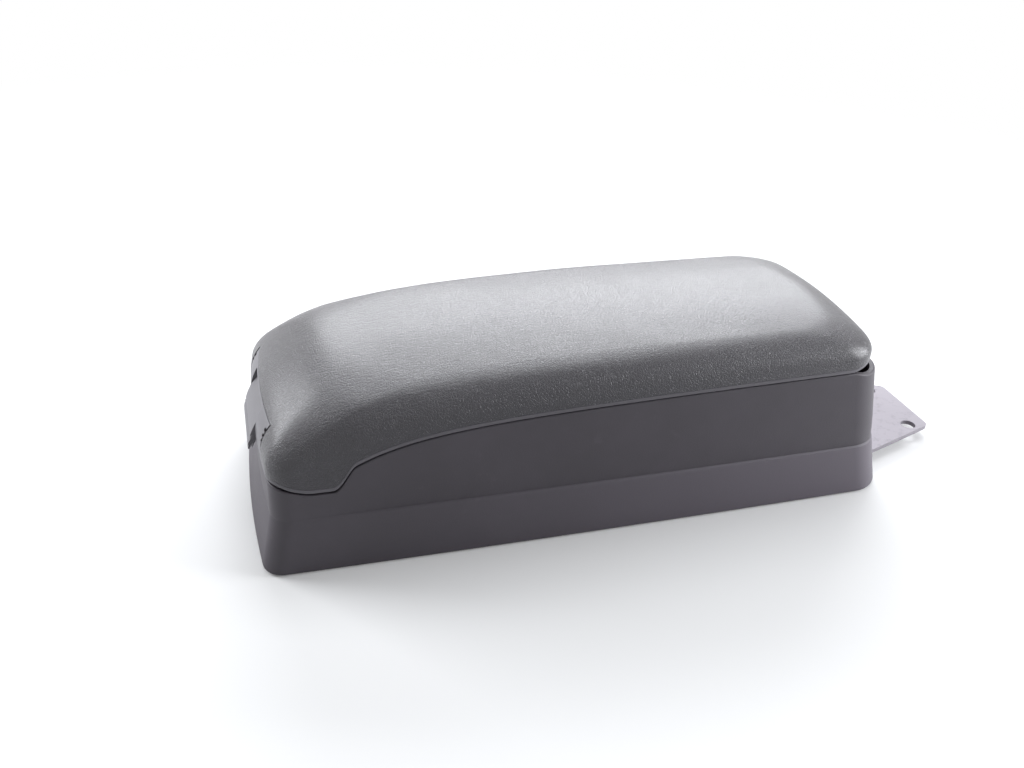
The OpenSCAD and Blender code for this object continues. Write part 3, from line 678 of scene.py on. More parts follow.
@dataclass(frozen=True)
class Outline:
    """Plan outline with bowed ends, round corners and slightly bowed sides."""

    end_steps: int = 8
    corner_steps: int = 14
    near_steps: int = 26
    near_pitch: float = 1.15
    far_steps: int = 36
    crowding: float = 1.2
    side_bow: float = 1.0
    front_bow: float = 2.5
    rear_bow: float = 2.0

    def half(self, front: float, rear: float, half_width: float, front_corner: Pair, rear_corner: Pair) -> list[Pair]:
        """Points from the front middle round +Y to the rear middle.

        Args:
            front: X of the front middle.
            rear: X of the rear middle.
            half_width: Widest half width.
            front_corner: Corner radii along X and along Y at the front.
            rear_corner: The same at the rear.

        Returns:
            XY points.
        """
        nose, xa = self._end(half_width, front_corner, self.front_bow)
        tail, xb = self._end(half_width, rear_corner, self.rear_bow)
        xa, xb = front + xa, rear - xb
        middle, span = (xa + xb) / 2, (xb - xa) / 2
        near = min(self.near_steps * self.near_pitch, 0.7 * span)
        places = [xa + near * j / self.near_steps for j in range(1, self.near_steps + 1)]
        places += [mix(xa + near, xb, (j / self.far_steps) ** self.crowding) for j in range(1, self.far_steps)]
        side = [(x, half_width - self.side_bow * ((x - middle) / span) ** 2) for x in places]
        return [(front + x, y) for x, y in nose] + side + [(rear - x, y) for x, y in reversed(tail)]

    def _bend(self, half_width: float, corner: Pair, bow: float) -> tuple[float, float, float, float]:
        """Half width of an end's face, its bow, its slope at the corner and where the corner starts."""
        flat = half_width - self.side_bow - corner[1]
        bow *= min(1.0, max(flat, 0.0) / 20)
        tilt = math.atan2(2 * bow, max(flat, 4.0))
        return flat, bow, tilt, flat + corner[1] * math.sin(tilt)

    def _end(self, half_width: float, corner: Pair, bow: float) -> tuple[list[Pair], float]:
        """Points of one end from its middle round the corner, and how far back the corner ends."""
        flat, bow, tilt, turn_y = self._bend(half_width, corner, bow)
        depth = bow + corner[0] * math.cos(tilt)
        pts = [(bow * (i / self.end_steps) ** 2, turn_y * i / self.end_steps) for i in range(self.end_steps)]
        for i in range(self.corner_steps + 1):
            a = mix(tilt, RIGHT_ANGLE, i / self.corner_steps)
            pts.append((depth - corner[0] * math.cos(a), flat + corner[1] * math.sin(a)))
        return pts, depth

    def depth_at(self, y: float, half_width: float, corner: Pair) -> float:
        """How far the front face stands back at a place across."""
        flat, bow, tilt, turn_y = self._bend(half_width, corner, self.front_bow)
        if abs(y) <= turn_y:
            return bow * (y / turn_y) ** 2
        a = math.asin(min(0.999, (abs(y) - flat) / corner[1]))
        return bow + corner[0] * (math.cos(tilt) - math.cos(a))

    def full(self, *args: object) -> list[Pair]:
        """The half outline and its mirror image, as one ring."""
        half = self.half(*args)
        return half + [(x, -y) for x, y in reversed(half[1:-1])]


@dataclass(frozen=True)
class Seam:
    """Line where lid and housing meet: level at the rear, a step near the front, a dropped corner."""

    lid_front: float = -163.0
    top: float = 75.0
    corner: float = 41.2
    front: float = 46.0
    gap: float = 0.8
    hinge_x: float = 141.0
    step: float = 30.5
    sag: float = 10.0
    short_fall: float = 26.0
    long_fall: float = 130.0
    rear_lift: float = 1.9
    lift_length: float = 16.0

    def rise(self, x: float) -> float:
        """Long rising line along the sides."""
        d = x - (self.lid_front + self.step) - 14
        return self.top - self.sag * math.exp(-d / self.short_fall) - self.sag * math.exp(-d / self.long_fall)

    def height(self, x: float) -> float:
        """Height of the seam."""
        low = mix(self.corner, self.front, smooth((self.lid_front + 22.5 - x) / 20))
        return mix(low, self.rise(x), smooth((x - self.lid_front - self.step) / 11))

    def lid_edge(self, x: float) -> float:
        """Lower edge of the lid, lifted away at the rear corners."""
        share = smooth((x - self.hinge_x + self.lift_length) / self.lift_length)
        return self.height(x) + self.gap + self.rear_lift * share


@dataclass(frozen=True)
class LidForm:
    """The rolled and crowned form that all layers of the lid share."""

    seam: Seam = Seam()
    outline: Outline = Outline()
    length: float = 309.5
    width: float = 122.0
    front_corner: float = 12.5
    rear_corner: float = 20.0
    front_roll: float = 48.0
    side_roll: float = 16.0
    rear_roll: float = 27.0
    shoulder_top: float = 91.3
    front_dip: float = 12.0
    crown: float = 5.0
    crown_end: float = 34.0
    foot: float = 3.2

    def shoulder(self, x: float) -> float:
        """Height of the shoulder along the lid."""
        d = soft_max(x - self.seam.lid_front - self.front_roll, 0.0, 14.0)
        return self.shoulder_top - self.front_dip * math.exp(-(d + 3.5) / 50)

    def base(self, x: float) -> float:
        """Height where the side starts to roll in."""
        return soft_max(self.seam.rise(x), self.seam.lid_edge(x), 5.0)

    def top_z(self, x: float, y: float, drop: float = 0.0) -> float:
        """Height of a layer's top beside the rolls."""
        return self.shoulder(x) + self.crown * (1 - (2 * y / self.width) ** 2) - drop

    def _span(self, turn: float, shrink: float, inset: float) -> tuple[float, Pair, Pair]:
        """Half width and the corner radii of one ring."""
        k, s = 1 - math.cos(turn), 1 - shrink
        half = mix(6.0, self.width / 2 - inset - (self.side_roll - inset) * k, s)
        front, rear, q = self.front_corner - inset, self.rear_corner - inset, mix(0.9, 1.0, s)
        return (half, (front + 22 * k, max(4.5, min(front + 14 * k, half - 2)) * q),
                (rear, max(4.5, min(rear, half - 2)) * q))

    def plan(self, turn: float, shrink: float, inset: float) -> list[Pair]:
        """Outline of one ring: turn is the roll's angle, shrink closes the crown, inset is a depth."""
        k = 1 - math.cos(turn)
        front = self.seam.lid_front + inset + (self.front_roll - inset) * k + self.crown_end * shrink
        rear = self.seam.lid_front + self.length - inset - (self.rear_roll - inset) * k - self.crown_end * shrink
        return self.outline.full(front, rear, *self._span(turn, shrink, inset))

    def ring(self, turn: float, shrink: float, inset: float, drop: float, lift: float) -> list[Point]:
        """One ring in space."""
        pts = []
        for x, y in self.plan(turn, shrink, inset):
            base = self.base(x) + lift
            pts.append((x, y, base + (self.top_z(x, y, drop) - base) * math.sin(turn)))
        return pts

    def edge_ring(self, inset: float, lift: float) -> list[Point]:
        """Ring along the lid's lower edge."""
        return [(x, y, self.seam.lid_edge(x) + lift) for x, y in self.plan(0, 0, inset)]

    def layer(self, inset: float, drop: float, lift: float, turns: int, crowns: int) -> list[list[Point]]:
        """Rings of one layer from its edge over the roll to the crown.

        Args:
            inset: Depth below the outer skin at the sides.
            drop: Depth below it on top.
            lift: Height of its edge above the lid's edge.
            turns: Steps over the roll.
            crowns: Steps from the roll to the middle.

        Returns:
            The rings, from the edge up.
        """
        rings = [self.edge_ring(inset, lift)]
        rings += [self.ring(turn, 0.0, inset, drop, lift + 1) for turn in quarter(turns)]
        return rings + [self.ring(RIGHT_ANGLE, i / crowns, inset, drop, lift + 1) for i in range(1, crowns + 1)]

    def front_x(self, y: float, z: float, inset: float, drop: float) -> float:
        """X of the front face at a place across and up, found by halving the roll's angle.

        Args:
            y: Place across the lid.
            z: Height.
            inset: Depth of the layer at the sides.
            drop: Depth of the layer on top.

        Returns:
            The place along the length.
        """
        def at(turn: float) -> Pair:
            """Place and height of the face at this turn."""
            half, corner, _ = self._span(turn, 0.0, inset)
            front = self.seam.lid_front + inset + (self.front_roll - inset) * (1 - math.cos(turn))
            x = front + self.outline.depth_at(y, half, corner)
            base = self.base(x) + self.foot
            return x, base + (self.top_z(x, y, drop) - base) * math.sin(turn)

        low, high = 0.0, RIGHT_ANGLE
        if at(0.0)[1] >= z:
            return at(0.0)[0]
        for _ in range(26):
            turn = (low + high) / 2
            low, high = (turn, high) if at(turn)[1] < z else (low, turn)
        return at((low + high) / 2)[0]


# ---- Pieces ----


@dataclass
class Part:
    """Pieces that are made together, in the finishes that all share."""

    paint: Paint

    def add(self, form: Form, name: str, body: Body, finish: str, node: str, shade_angle: float = 30.0,
            outward: bool = False) -> bpy.types.Object:
        """Turn a form into a named piece that rides on a body.

        Args:
            form: The shape, which is used up.
            name: The piece's name.
            body: The body that it moves with.
            finish: Key of its finish.
            node: The CAD node that it stands for.
            shade_angle: Edges that turn further than this stay crisp.
            outward: Whether to turn all faces outwards first.

        Returns:
            The new object.
        """
        bm = form.bm
        if outward:
            bmesh.ops.recalc_face_normals(bm, faces=bm.faces[:])
        bmesh.ops.scale(bm, vec=(MM, MM, MM), verts=bm.verts[:])
        for face in bm.faces:
            face.smooth = True
        for edge in bm.edges:
            edge.smooth = len(edge.link_faces) == 2 and edge.calc_face_angle(0.0) <= math.radians(shade_angle)
        mesh = form.mesh(name)
        piece = put(name, mesh)
        mesh.materials.append(self.paint.materials[finish])
        if finish not in ("skin", "foam"):
            piece.modifiers.new("even shading", "WEIGHTED_NORMAL").keep_sharp = True
        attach(piece, body.value)
        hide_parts(node)
        log.info("%s: %d vertices on %s", name, len(mesh.vertices), body.value)
        return piece

    def cast(self, node: str, body: Body, finish: str, edge: float) -> None:
        """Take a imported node's shape and round its edges by a width in millimetres."""
        form = Form()
        form.bm.from_mesh(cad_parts[node].data)
        bmesh.ops.scale(form.bm, vec=(1 / MM,) * 3, verts=form.bm.verts[:])
        bmesh.ops.remove_doubles(form.bm, verts=form.bm.verts[:], dist=0.002)
        bmesh.ops.recalc_face_normals(form.bm, faces=form.bm.faces[:])
        bmesh.ops.dissolve_limit(form.bm, angle_limit=math.radians(0.6), verts=form.bm.verts[:],
                                 edges=form.bm.edges[:])
        form.round_edges(edge, 2, 35)
        self.add(form, f"{node}_piece", body, finish, node, 32, outward=True)

    def screws(self, name: str, body: Body, node: str, seats: Iterable[Point], axis: Axis, sign: int,
               size: tuple[float, float, float, float], sunk: bool = False) -> None:
        """Drive a set of like screws.

        Args:
            name: The piece's name.
            body: The body that it moves with.
            node: The CAD node that it stands for.
            seats: Where the heads bear.
            axis: Direction of the screws.
            sign: 1 where the heads point along the axis, -1 where they point against it.
            size: Radius and length of the shanks, radius and height of the heads.
            sunk: Whether the heads are countersunk.
        """
        form = Form()
        for seat in seats:
            form.screw(seat, axis, sign, *size, sunk)
        self.add(form, name, body, "screw", node)


# ---- Housing ----


@dataclass
class Housing(Part):
    """Moulded box with a flared foot, a stepped rim, a front deck for the catch and ribs for the tub."""

    length: float = 336.0
    width: float = 130.0
    wall: float = 3.0
    crease: float = 28.0
    side_flare: float = 3.7
    front_flare: float = 5.5
    rear_lean: float = 17.0
    rear_dip: float = 2.8
    dip_start: float = 134.0
    dip_length: float = 14.0
    foot_round: float = 2.0
    rim_play: float = 0.1
    inner_rim: float = 0.6
    front_corner: float = 10.0
    rear_corner: float = 20.0
    floor: float = 3.0
    deck_top: float = 39.0
    deck_wall: float = 3.0
    deck_rear: float = -110.0
    hook_slot: Point = (-158.0, -141.1, 8.5)
    tongue_slot: Point = (44.5, 3.6, 9.0)
    tub_half: float = 50.0
    rib_x: tuple[float, ...] = (-68.6, -19.4, 29.9, 79.1, 114.3)
    hinge_post: tuple[float, float, float, float, float] = (138.0, 45.0, 67.0, 14.0, 26.0)
    cove: tuple[Pair, ...] = ((27.6, 0.15), (28.0, 0.6), (28.3, 0.95), (29.5, 0.85), (32.0, 0.6), (36.0, 0.28),
                              (41.0, 0.05))
    seam: Seam = Seam()
    outline: Outline = Outline()

    def side_y(self, z: float) -> float:
        """Half width at a height."""
        return (self.width / 2 - self.side_flare * min(1.0, z / self.crease)
                - 1.1 * max(0.0, (z - self.crease) / 47))

    def rear_x(self, z: float) -> float:
        """X of the rear wall at a height."""
        return self.length / 2 - self.rear_lean * z / self.seam.top

    def plan(self, z: float, inset: float) -> list[Pair]:
        """Outline at a height, moved in by a depth."""
        front = -self.length / 2 + self.front_flare * min(1.0, z / self.crease) + inset
        near, far = self.front_corner - inset, self.rear_corner - inset
        return self.outline.full(front, self.rear_x(z) - inset, self.side_y(z) - inset, (near, near), (far, far))

    def level_ring(self, z: float, inset: float) -> list[Point]:
        """Level ring."""
        return raised(self.plan(z, inset), z)

    def rim_ring(self, drop: float, inset: float) -> list[Point]:
        """Ring that follows the seam at a drop below it."""
        low, high = self.plan(self.seam.corner, inset), self.plan(self.seam.top, inset)
        pts = []
        for (x0, y0), (x1, y1) in zip(low, high):
            z = self.seam.height(x0) - drop - self.rear_dip * smooth((x0 - self.dip_start) / self.dip_length)
            t = (z - self.seam.corner) / (self.seam.top - self.seam.corner)
            pts.append((mix(x0, x1, t), mix(y0, y1, t), z))
        return pts

    def coved_ring(self, z: float, depth: float) -> list[Point]:
        """Ring that is drawn in along the sides only, fading out towards both ends."""
        return [(x, y - math.copysign(depth * (smooth((x + 158) / 50) * smooth((abs(y) - 30) / 20)), y), z)
                for x, y in self.plan(z, 0.0)]

    def shell(self) -> Form:
        """Mould the walls and the floor as one skin, with the slot for the tongue."""
        form = Form()
        foot, play, inner = self.foot_round, self.rim_play, self.inner_rim
        rings = [self.level_ring(foot * (1 - math.cos(a)), foot * (1 - math.sin(a))) for a in quarter(5)]
        rings += [self.level_ring(z, 0.0) for z in (14.0, 26.0, 26.9)]
        rings += [self.coved_ring(z, depth) for z, depth in self.cove]
        rings += [self.rim_ring(play + 1.0 - math.sin(a), 0.9 * (1 - math.cos(a))) for a in quarter(4)]
        rings += [self.rim_ring(play + 0.9 * (1 - math.cos(a)), self.wall - inner + inner * math.sin(a))
                  for a in quarter(3)]
        rings += [self.level_ring(z, self.wall + inset) for z, inset in (
            (self.crease, 0.0), (self.floor + 1.2, 0.0), (self.floor + 0.35, 0.35), (self.floor, 1.2))]
        first, last = form.skin(rings)
        form.close_level(last, first)
        form.outward(form.bm.faces[:1])
        half, low, high = self.tongue_slot
        form.slot((148.0, -half, low), (173.0, half, high))
        return form

    def deck(self) -> Form:
        """Shelf behind the front wall, with the slot for the hook, two ribs and the striker's bosses."""
        form = Form()
        level = self.deck_top - self.deck_wall
        nose = [(x, y) for x, y in self.outline.half(
            -self.length / 2 + self.front_flare + 1.6, 150.0, self.side_y(level) - 1.6, (12.4, 12.4),
            (26.0, 26.0)) if x < self.deck_rear - 1]
        nose.append((self.deck_rear, nose[-1][1]))
        form.prism(nose + [(x, -y) for x, y in reversed(nose[1:])], Axis.Z, level, self.deck_top)
        x0, x1, half = self.hook_slot
        form.slot((x0, -half, level - 1), (x1, half, self.deck_top + 1))
        form.twins([(-163.8, 2.5), (-114.0, 2.5), (-114.0, level + 0.5), (-159.3, level + 0.5), (-159.8, 28.0)],
                   39.0, 41.0)
        form.round_edges(0.3)
        form.posts(STRIKER_SCREWS, [(3.4, 29.0), (4.0, 29.6), (4.0, level + 0.5), (1.52, level + 0.5), (1.52, 30.0)])
        return form

    def ribs(self) -> Form:
        """Brackets along the sides under the tub's flange, and the posts of the hinge, the tub and the plate."""
        form = Form()
        for x in self.rib_x:
            rim = self.seam.height(x - 1) - 5.1
            corners = [(self.tub_half + 0.3, self.crease), (self.side_y(self.crease) - 1.5, self.crease),
                       (self.side_y(rim) - 1.5, rim), (self.tub_half + 0.3, rim)]
            for side in (-1, 1):
                form.prism([(side * y, z) for y, z in corners], Axis.X, x - 1, x + 1)
        front, low, high, near, far = self.hinge_post
        form.twins([(self.rear_x(low) - 1.5, low), (front, low), (front, high), (self.rear_x(high) - 1.5, high)],
                   near, far)
        form.round_edges(0.25)
        form.posts(TUB_SCREWS, [(5.0, 2.0), (5.0, 10.5), (4.6, 10.9), (1.5, 10.9), (1.5, 3.2)])
        form.posts(PLATE_SCREWS, [(6.0, 2.0), (6.0, 4.6), (5.6, 5.0), (2.5, 5.0), (2.5, 1.0)])
        return form

    def build(self) -> None:
        """Make the housing."""
        form = self.shell()
        form.join(self.deck())
        form.join(self.ribs())
        self.add(form, "housing_box", Body.HOUSING, "housing", "console_box", 26)


@dataclass
class Tub(Part):
    """Storage tub that hangs by its flange, with a ribbed rubber mat."""

    front: float = -108.5
    rear: float = 126.0
    half: float = 50.0
    corner: float = 16.0
    wall: float = 2.5
    underside: float = 11.0
    drop: float = 3.0
    flange: float = 2.0
    reach: float = 4.0
    rib_pitch: float = 3.6
    seam: Seam = Seam()
    outline: Outline = Outline()

    def plan(self, grow: float) -> list[Pair]:
        """Outline, grown outwards."""
        r = self.corner + grow
        return self.outline.full(self.front - grow, self.rear + grow, self.half + grow, (r, r), (r, r))

    def level(self, grow: float, z: float) -> list[Point]:
        """Level ring."""
        return raised(self.plan(grow), z)

    def rim(self, grow: float, drop: float) -> list[Point]:
        """Ring along the rim, which follows the seam."""
        return [(x, y, self.seam.height(x) - self.drop - drop) for x, y in self.plan(grow)]

    def build_tub(self) -> None:
        """Mould the tub."""
        form = Form()
        low, inner, reach, thick = self.underside, -self.wall, self.reach, self.flange
        rings = [self.level(grow, low + up) for grow, up in ((-2.2, 0), (-0.65, 0.65), (0, 2.2))]
        rings += [self.rim(grow, drop) for grow, drop in (
            (0, thick + 0.6), (0.6, thick), (reach - 0.3, thick), (reach, thick - 0.3), (reach, 0.4),
            (reach - 0.4, 0), (inner + 0.7, 0), (inner + 0.2, 0.2), (inner, 0.7))]
        rings += [self.level(inner - grow, low + up) for grow, up in ((0, 3.3), (0.25, 2.75), (0.8, 2.5))]
        first, last = form.skin(rings)
        form.close_level(last, first)
        form.outward(form.bm.faces[:1])
        for x, y in TUB_SCREWS:
            form.bore(x, y, (1.6, low), (4.15, low + 2.5))
        self.add(form, "storage_tub", Body.HOUSING, "liner", "bin_liner", 34, outward=True)

    def build_mat(self) -> None:
        """Cut the mat and lay its ribs."""
        form = Form()
        edge, z = self.wall + 0.6, self.underside + self.wall + 0.1
        x0, x1 = self.front + edge + 2.5, self.rear - edge - 2.0
        half, r = self.half - edge - 1.0, self.corner - edge
        form.prism(filleted([(x0, half, r), (x1, half, r), (x1, -half, r), (x0, -half, r)], 9), Axis.Z, z, z + 1.2)
        form.round_edges(0.35)
        x = x0 + 4.0
        while x < x1 - 3.5:
            near = min(x - x0, x1 - x)
            cut = r - math.sqrt(max(0.0, r * r - (r - near) ** 2)) if near < r else 0.0
            reach = half - cut - 2.0
            form.prism([(x - 0.9, z + 1.1), (x - 0.75, z + 1.75), (x - 0.4, z + 2.0), (x + 0.4, z + 2.0),
                        (x + 0.75, z + 1.75), (x + 0.9, z + 1.1)], Axis.Y, -reach, reach)
            x += self.rib_pitch
        self.add(form, "ribbed_mat", Body.HOUSING, "rubber", "bin_mat", 50)

    def build(self) -> None:
        """Make the tub, its mat and the countersunk screws under the mat."""
        self.build_tub()
        self.build_mat()
        self.screws("tub_screws", Body.HOUSING, "liner_screws", raised(TUB_SCREWS, self.underside + 0.2),
                    Axis.Z, 1, (1.5, 6.2, 4.0, 2.2), sunk=True)


@dataclass
class Tongue(Part):
    """Coated steel plate on the housing's floor, whose drilled tongue reaches out behind."""

    front: float = 58.0
    half: float = 43.5
    root: float = 158.0
    tip: float = 221.0
    tip_half: float = 22.68
    low: float = 5.0
    thickness: float = 2.5
    screw_hole: float = 2.75
    bolts: Pair = (209.0, 20.0)
    bolt_hole: float = 4.25

    def build(self) -> None:
        """Make the plate and its screws."""
        form = Form()
        top = self.low + self.thickness
        x, across = self.bolts
        holes = [(*place, self.screw_hole) for place in PLATE_SCREWS]
        holes += [(*place, self.bolt_hole) for place in pairs((x,), across)]
        h, t = self.half, self.tip_half
        form.plate(filleted([(self.front, h, 8), (self.root, h, 7), (self.tip, t, 4), (self.tip, -t, 4),
                             (self.root, -h, 7), (self.front, -h, 8)]), holes, self.low, top)
        form.round_edges(0.3, 3)
        self.add(form, "mounting_tongue", Body.HOUSING, "coated", "mount_bracket", 40, outward=True)
        self.screws("tongue_screws", Body.HOUSING, "bracket_screws", raised(PLATE_SCREWS, top + 0.02),
                    Axis.Z, 1, (2.5, 6.5, 4.6, 2.4))


# ---- Hinge and striker ----


@dataclass
class Hinge(Part):
    """Pressed bracket and leaf on a steel pin that turns in nylon bushes."""

    place: Point = (141.0, 0.0, 78.0)
    pin_r: float = 2.5
    bush_r: float = 3.6
    leaf_half: float = 26.0
    bracket_half: float = 29.5

    def build(self) -> None:
        """Make the hinge's pieces."""
        self.cast("hinge_bracket", Body.HOUSING, "zinc", 0.35)
        self.cast("hinge_leaf", Body.LID, "zinc", 0.35)
        form = Form()
        reach, r = self.bracket_half + 1, self.pin_r
        form.turned([(r - 0.6, -reach - 0.6), (r - 0.1, -reach - 0.1), (r, -reach + 0.3), (r, reach - 0.3),
                     (r - 0.1, reach + 0.1), (r - 0.6, reach + 0.6)], self.place, Axis.Y)
        self.add(form, "hinge_pin_piece", Body.LID, "ground", "hinge_pin")
        form = Form()
        bore, flange, a = r + 0.03, self.bush_r + 1.4, self.leaf_half + 0.16
        for side in (-1, 1):
            form.turned([(rad, side * (a + h)) for rad, h in (
                (bore, 0.15), (bore + 0.15, 0.0), (flange - 0.15, 0.0), (flange, 0.15), (flange, 0.65),
                (flange - 0.15, 0.8), (self.bush_r, 0.8), (self.bush_r, 3.14), (self.bush_r - 0.2, 3.34),
                (bore + 0.15, 3.34), (bore, 3.19))], self.place, Axis.Y, closed=True)
        self.add(form, "nylon_bushes", Body.HOUSING, "nylon", "hinge_bushes")
        self.screws("bracket_screws_rear", Body.HOUSING, "hinge_bracket_screws",
                    [(135.48, y, z) for z, y in pairs((51.0, 61.0), 20.0)], Axis.X, -1, (2.0, 11.9, 3.8, 2.2))
        self.screws("leaf_screws", Body.LID, "hinge_leaf_screws", raised(LEAF_SCREWS, 75.98), Axis.Z, -1,
                    (2.0, 8.2, 3.8, 2.2))


@dataclass
class Striker(Part):
    """Steel catch plate on the front deck."""

    def build(self) -> None:
        """Make the plate and its screws."""
        self.cast("striker", Body.HOUSING, "zinc", 0.25)
        self.screws("striker_screw_pair", Body.HOUSING, "striker_screws", raised(STRIKER_SCREWS, 40.52),
                    Axis.Z, 1, (1.5, 9.5, 3.0, 1.8))


# ---- Lid ----


@dataclass
class Lid(Part):
    """Padded lid: hard carrier with a lip, foam and a grained skin."""

    form: LidForm = LidForm()
    lip: float = 2.2
    skin: float = 1.2
    carrier_in: float = 3.8
    carrier_drop: float = 7.6
    carrier_wall: float = 2.2
    slack: float = 0.65
    window_low: float = 44.0
    window_half: float = 36.5
    window_top: float = 65.5
    notch_half: float = 31.5
    notch_top: float = 84.2
    notch_gap: float = 0.6
    stops: tuple[tuple[float, ...], float] = ((-19.4, 79.1), 51.0)

    def cut_window(self, form: Form, half: float, low: float, high: float) -> None:
        """Cut the latch's opening out of a layer's front."""
        front = self.form.seam.lid_front
        form.cut_box((front - 10, -half, low), (front + 34, half, high))

    def cut_notch(self, form: Form, grow: float = 0.0) -> None:
        """Cut the notch for the hinge out of a layer's rear edge."""
        half = self.notch_half + grow
        form.cut_box((132.0 - grow, -half, 66.0), (161.0, half, self.notch_top + grow))

    def build_cover(self) -> None:
        """Draw the grained skin over the foam, with a wall as thick as the hide."""
        form = Form()
        _, last = form.skin(self.form.layer(0.0, 0.0, self.lip, 24, 12))
        form.close_level(last)
        self.settle(form)
        self.cut_window(form, 37.3, self.window_low, 65.3)
        self.cut_notch(form)
        form.outward(form.bm.faces[:1])
        form.wall(self.skin)
        self.add(form, "grained_cover", Body.LID, "skin", "lid_cover", 40, outward=True)

    def settle(self, form: Form) -> None:
        """Let the padding stand a little uneven, fullest over the rolls and flat along the lip."""
        for vert in form.bm.verts:
            x, y, z = vert.co
            rise = smooth((z - self.form.seam.lid_edge(x) - self.lip - 2) / 14)
            wave = noise.noise(Vector((x / 46, y / 34, z / 30))) * 0.34
            wave += noise.noise(Vector((x / 17, y / 15, z / 12))) * 0.09
            vert.co.z += wave * rise

    def build_foam(self) -> None:
        """Fill the space between skin and carrier."""
        form = Form()
        rings = list(reversed(self.form.layer(self.carrier_in - 0.75, self.carrier_drop - 0.75, 2.5, 12, 5)))
        rings += self.form.layer(self.skin + self.slack, self.skin + self.slack, 2.5, 12, 5)
        form.close_level(*reversed(form.skin(rings)))
        self.cut_window(form, self.window_half, self.window_low, self.window_top)
        form.seal_notch(self.window_half, self.window_top)
        self.cut_notch(form, self.notch_gap)
        form.seal_notch(self.notch_half + self.notch_gap, self.notch_top + self.notch_gap)
        self.add(form, "foam_pad", Body.LID, "foam", "lid_foam", 40, outward=True)

    def build_lip(self) -> Form:
        """Draw the lip that shows below the skin."""
        lip = Form()
        top = self.lip - 0.1
        section = ((6.0, 0.25), (5.75, 0.0), (0.7, 0.0), (0.2, 0.15), (0.0, 0.6), (0.0, top - 0.35), (0.1, top - 0.1),
                   (0.4, top), (6.0, top))
        first, last = lip.skin([self.form.edge_ring(inset, lift) for inset, lift in section])
        lip.bridge(last, first)
        self.cut_notch(lip)
        lip.close_loops()
        lip.outward(lip.bm.faces[:1])
        return lip

    def build_carrier(self) -> None:
        """Mould the hard carrier with its lip and the bosses that take the screws."""
        form = Form()
        _, last = form.skin(self.form.layer(self.carrier_in, self.carrier_drop, 1.4, 18, 8))
        form.close_level(last)
        self.cut_window(form, 23.0, 48.7, 66.5)
        self.cut_notch(form)
        form.outward(form.bm.faces[:1])
        form.wall(self.carrier_wall)
        form.join(self.build_lip())
        for places, radius, foot, bore, cover in ((PANEL_SCREWS, 4.0, 75.5, 1.27, 1.5),
                                                  (LEAF_SCREWS, 5.0, 79.0, 2.02, 0.8)):
            for x, y in places:
                top_z = self.form.top_z(x, y, self.carrier_drop + 1.0)
                form.turned([(radius, top_z), (radius, foot), (radius - 0.4, foot - 0.4), (bore, foot - 0.4),
                             (bore, top_z - cover)], (x, y, 0.0))
        self.add(form, "lid_carrier", Body.LID, "lip", "lid_shell", 40)

    def build_underside(self) -> None:
        """Close the lid's underside and add its screws and rubber stops."""
        self.cast("lid_inner_panel", Body.LID, "liner", 0.3)
        self.screws("panel_screws", Body.LID, "lid_screws", raised(PANEL_SCREWS, 72.98), Axis.Z, -1,
                    (1.25, 6.0, 2.8, 1.6))
        form = Form()
        for x, y in pairs(*self.stops):
            foot = self.form.seam.height(x + 2) - 2.9
            form.turned([(0.9, foot), (1.6, foot + 0.2), (2.0, foot + 0.7), (2.25, 71.6), (2.6, 72.0),
                         (2.6, 72.95)], (x, y, 0.0), sides=28)
        self.add(form, "rubber_stops", Body.LID, "rubber", "bump_stops", 40)

    def build(self) -> None:
        """Make every piece of the lid."""
        self.build_cover()
        self.build_foam()
        self.build_carrier()
        self.build_underside()


# ---- Latch ----


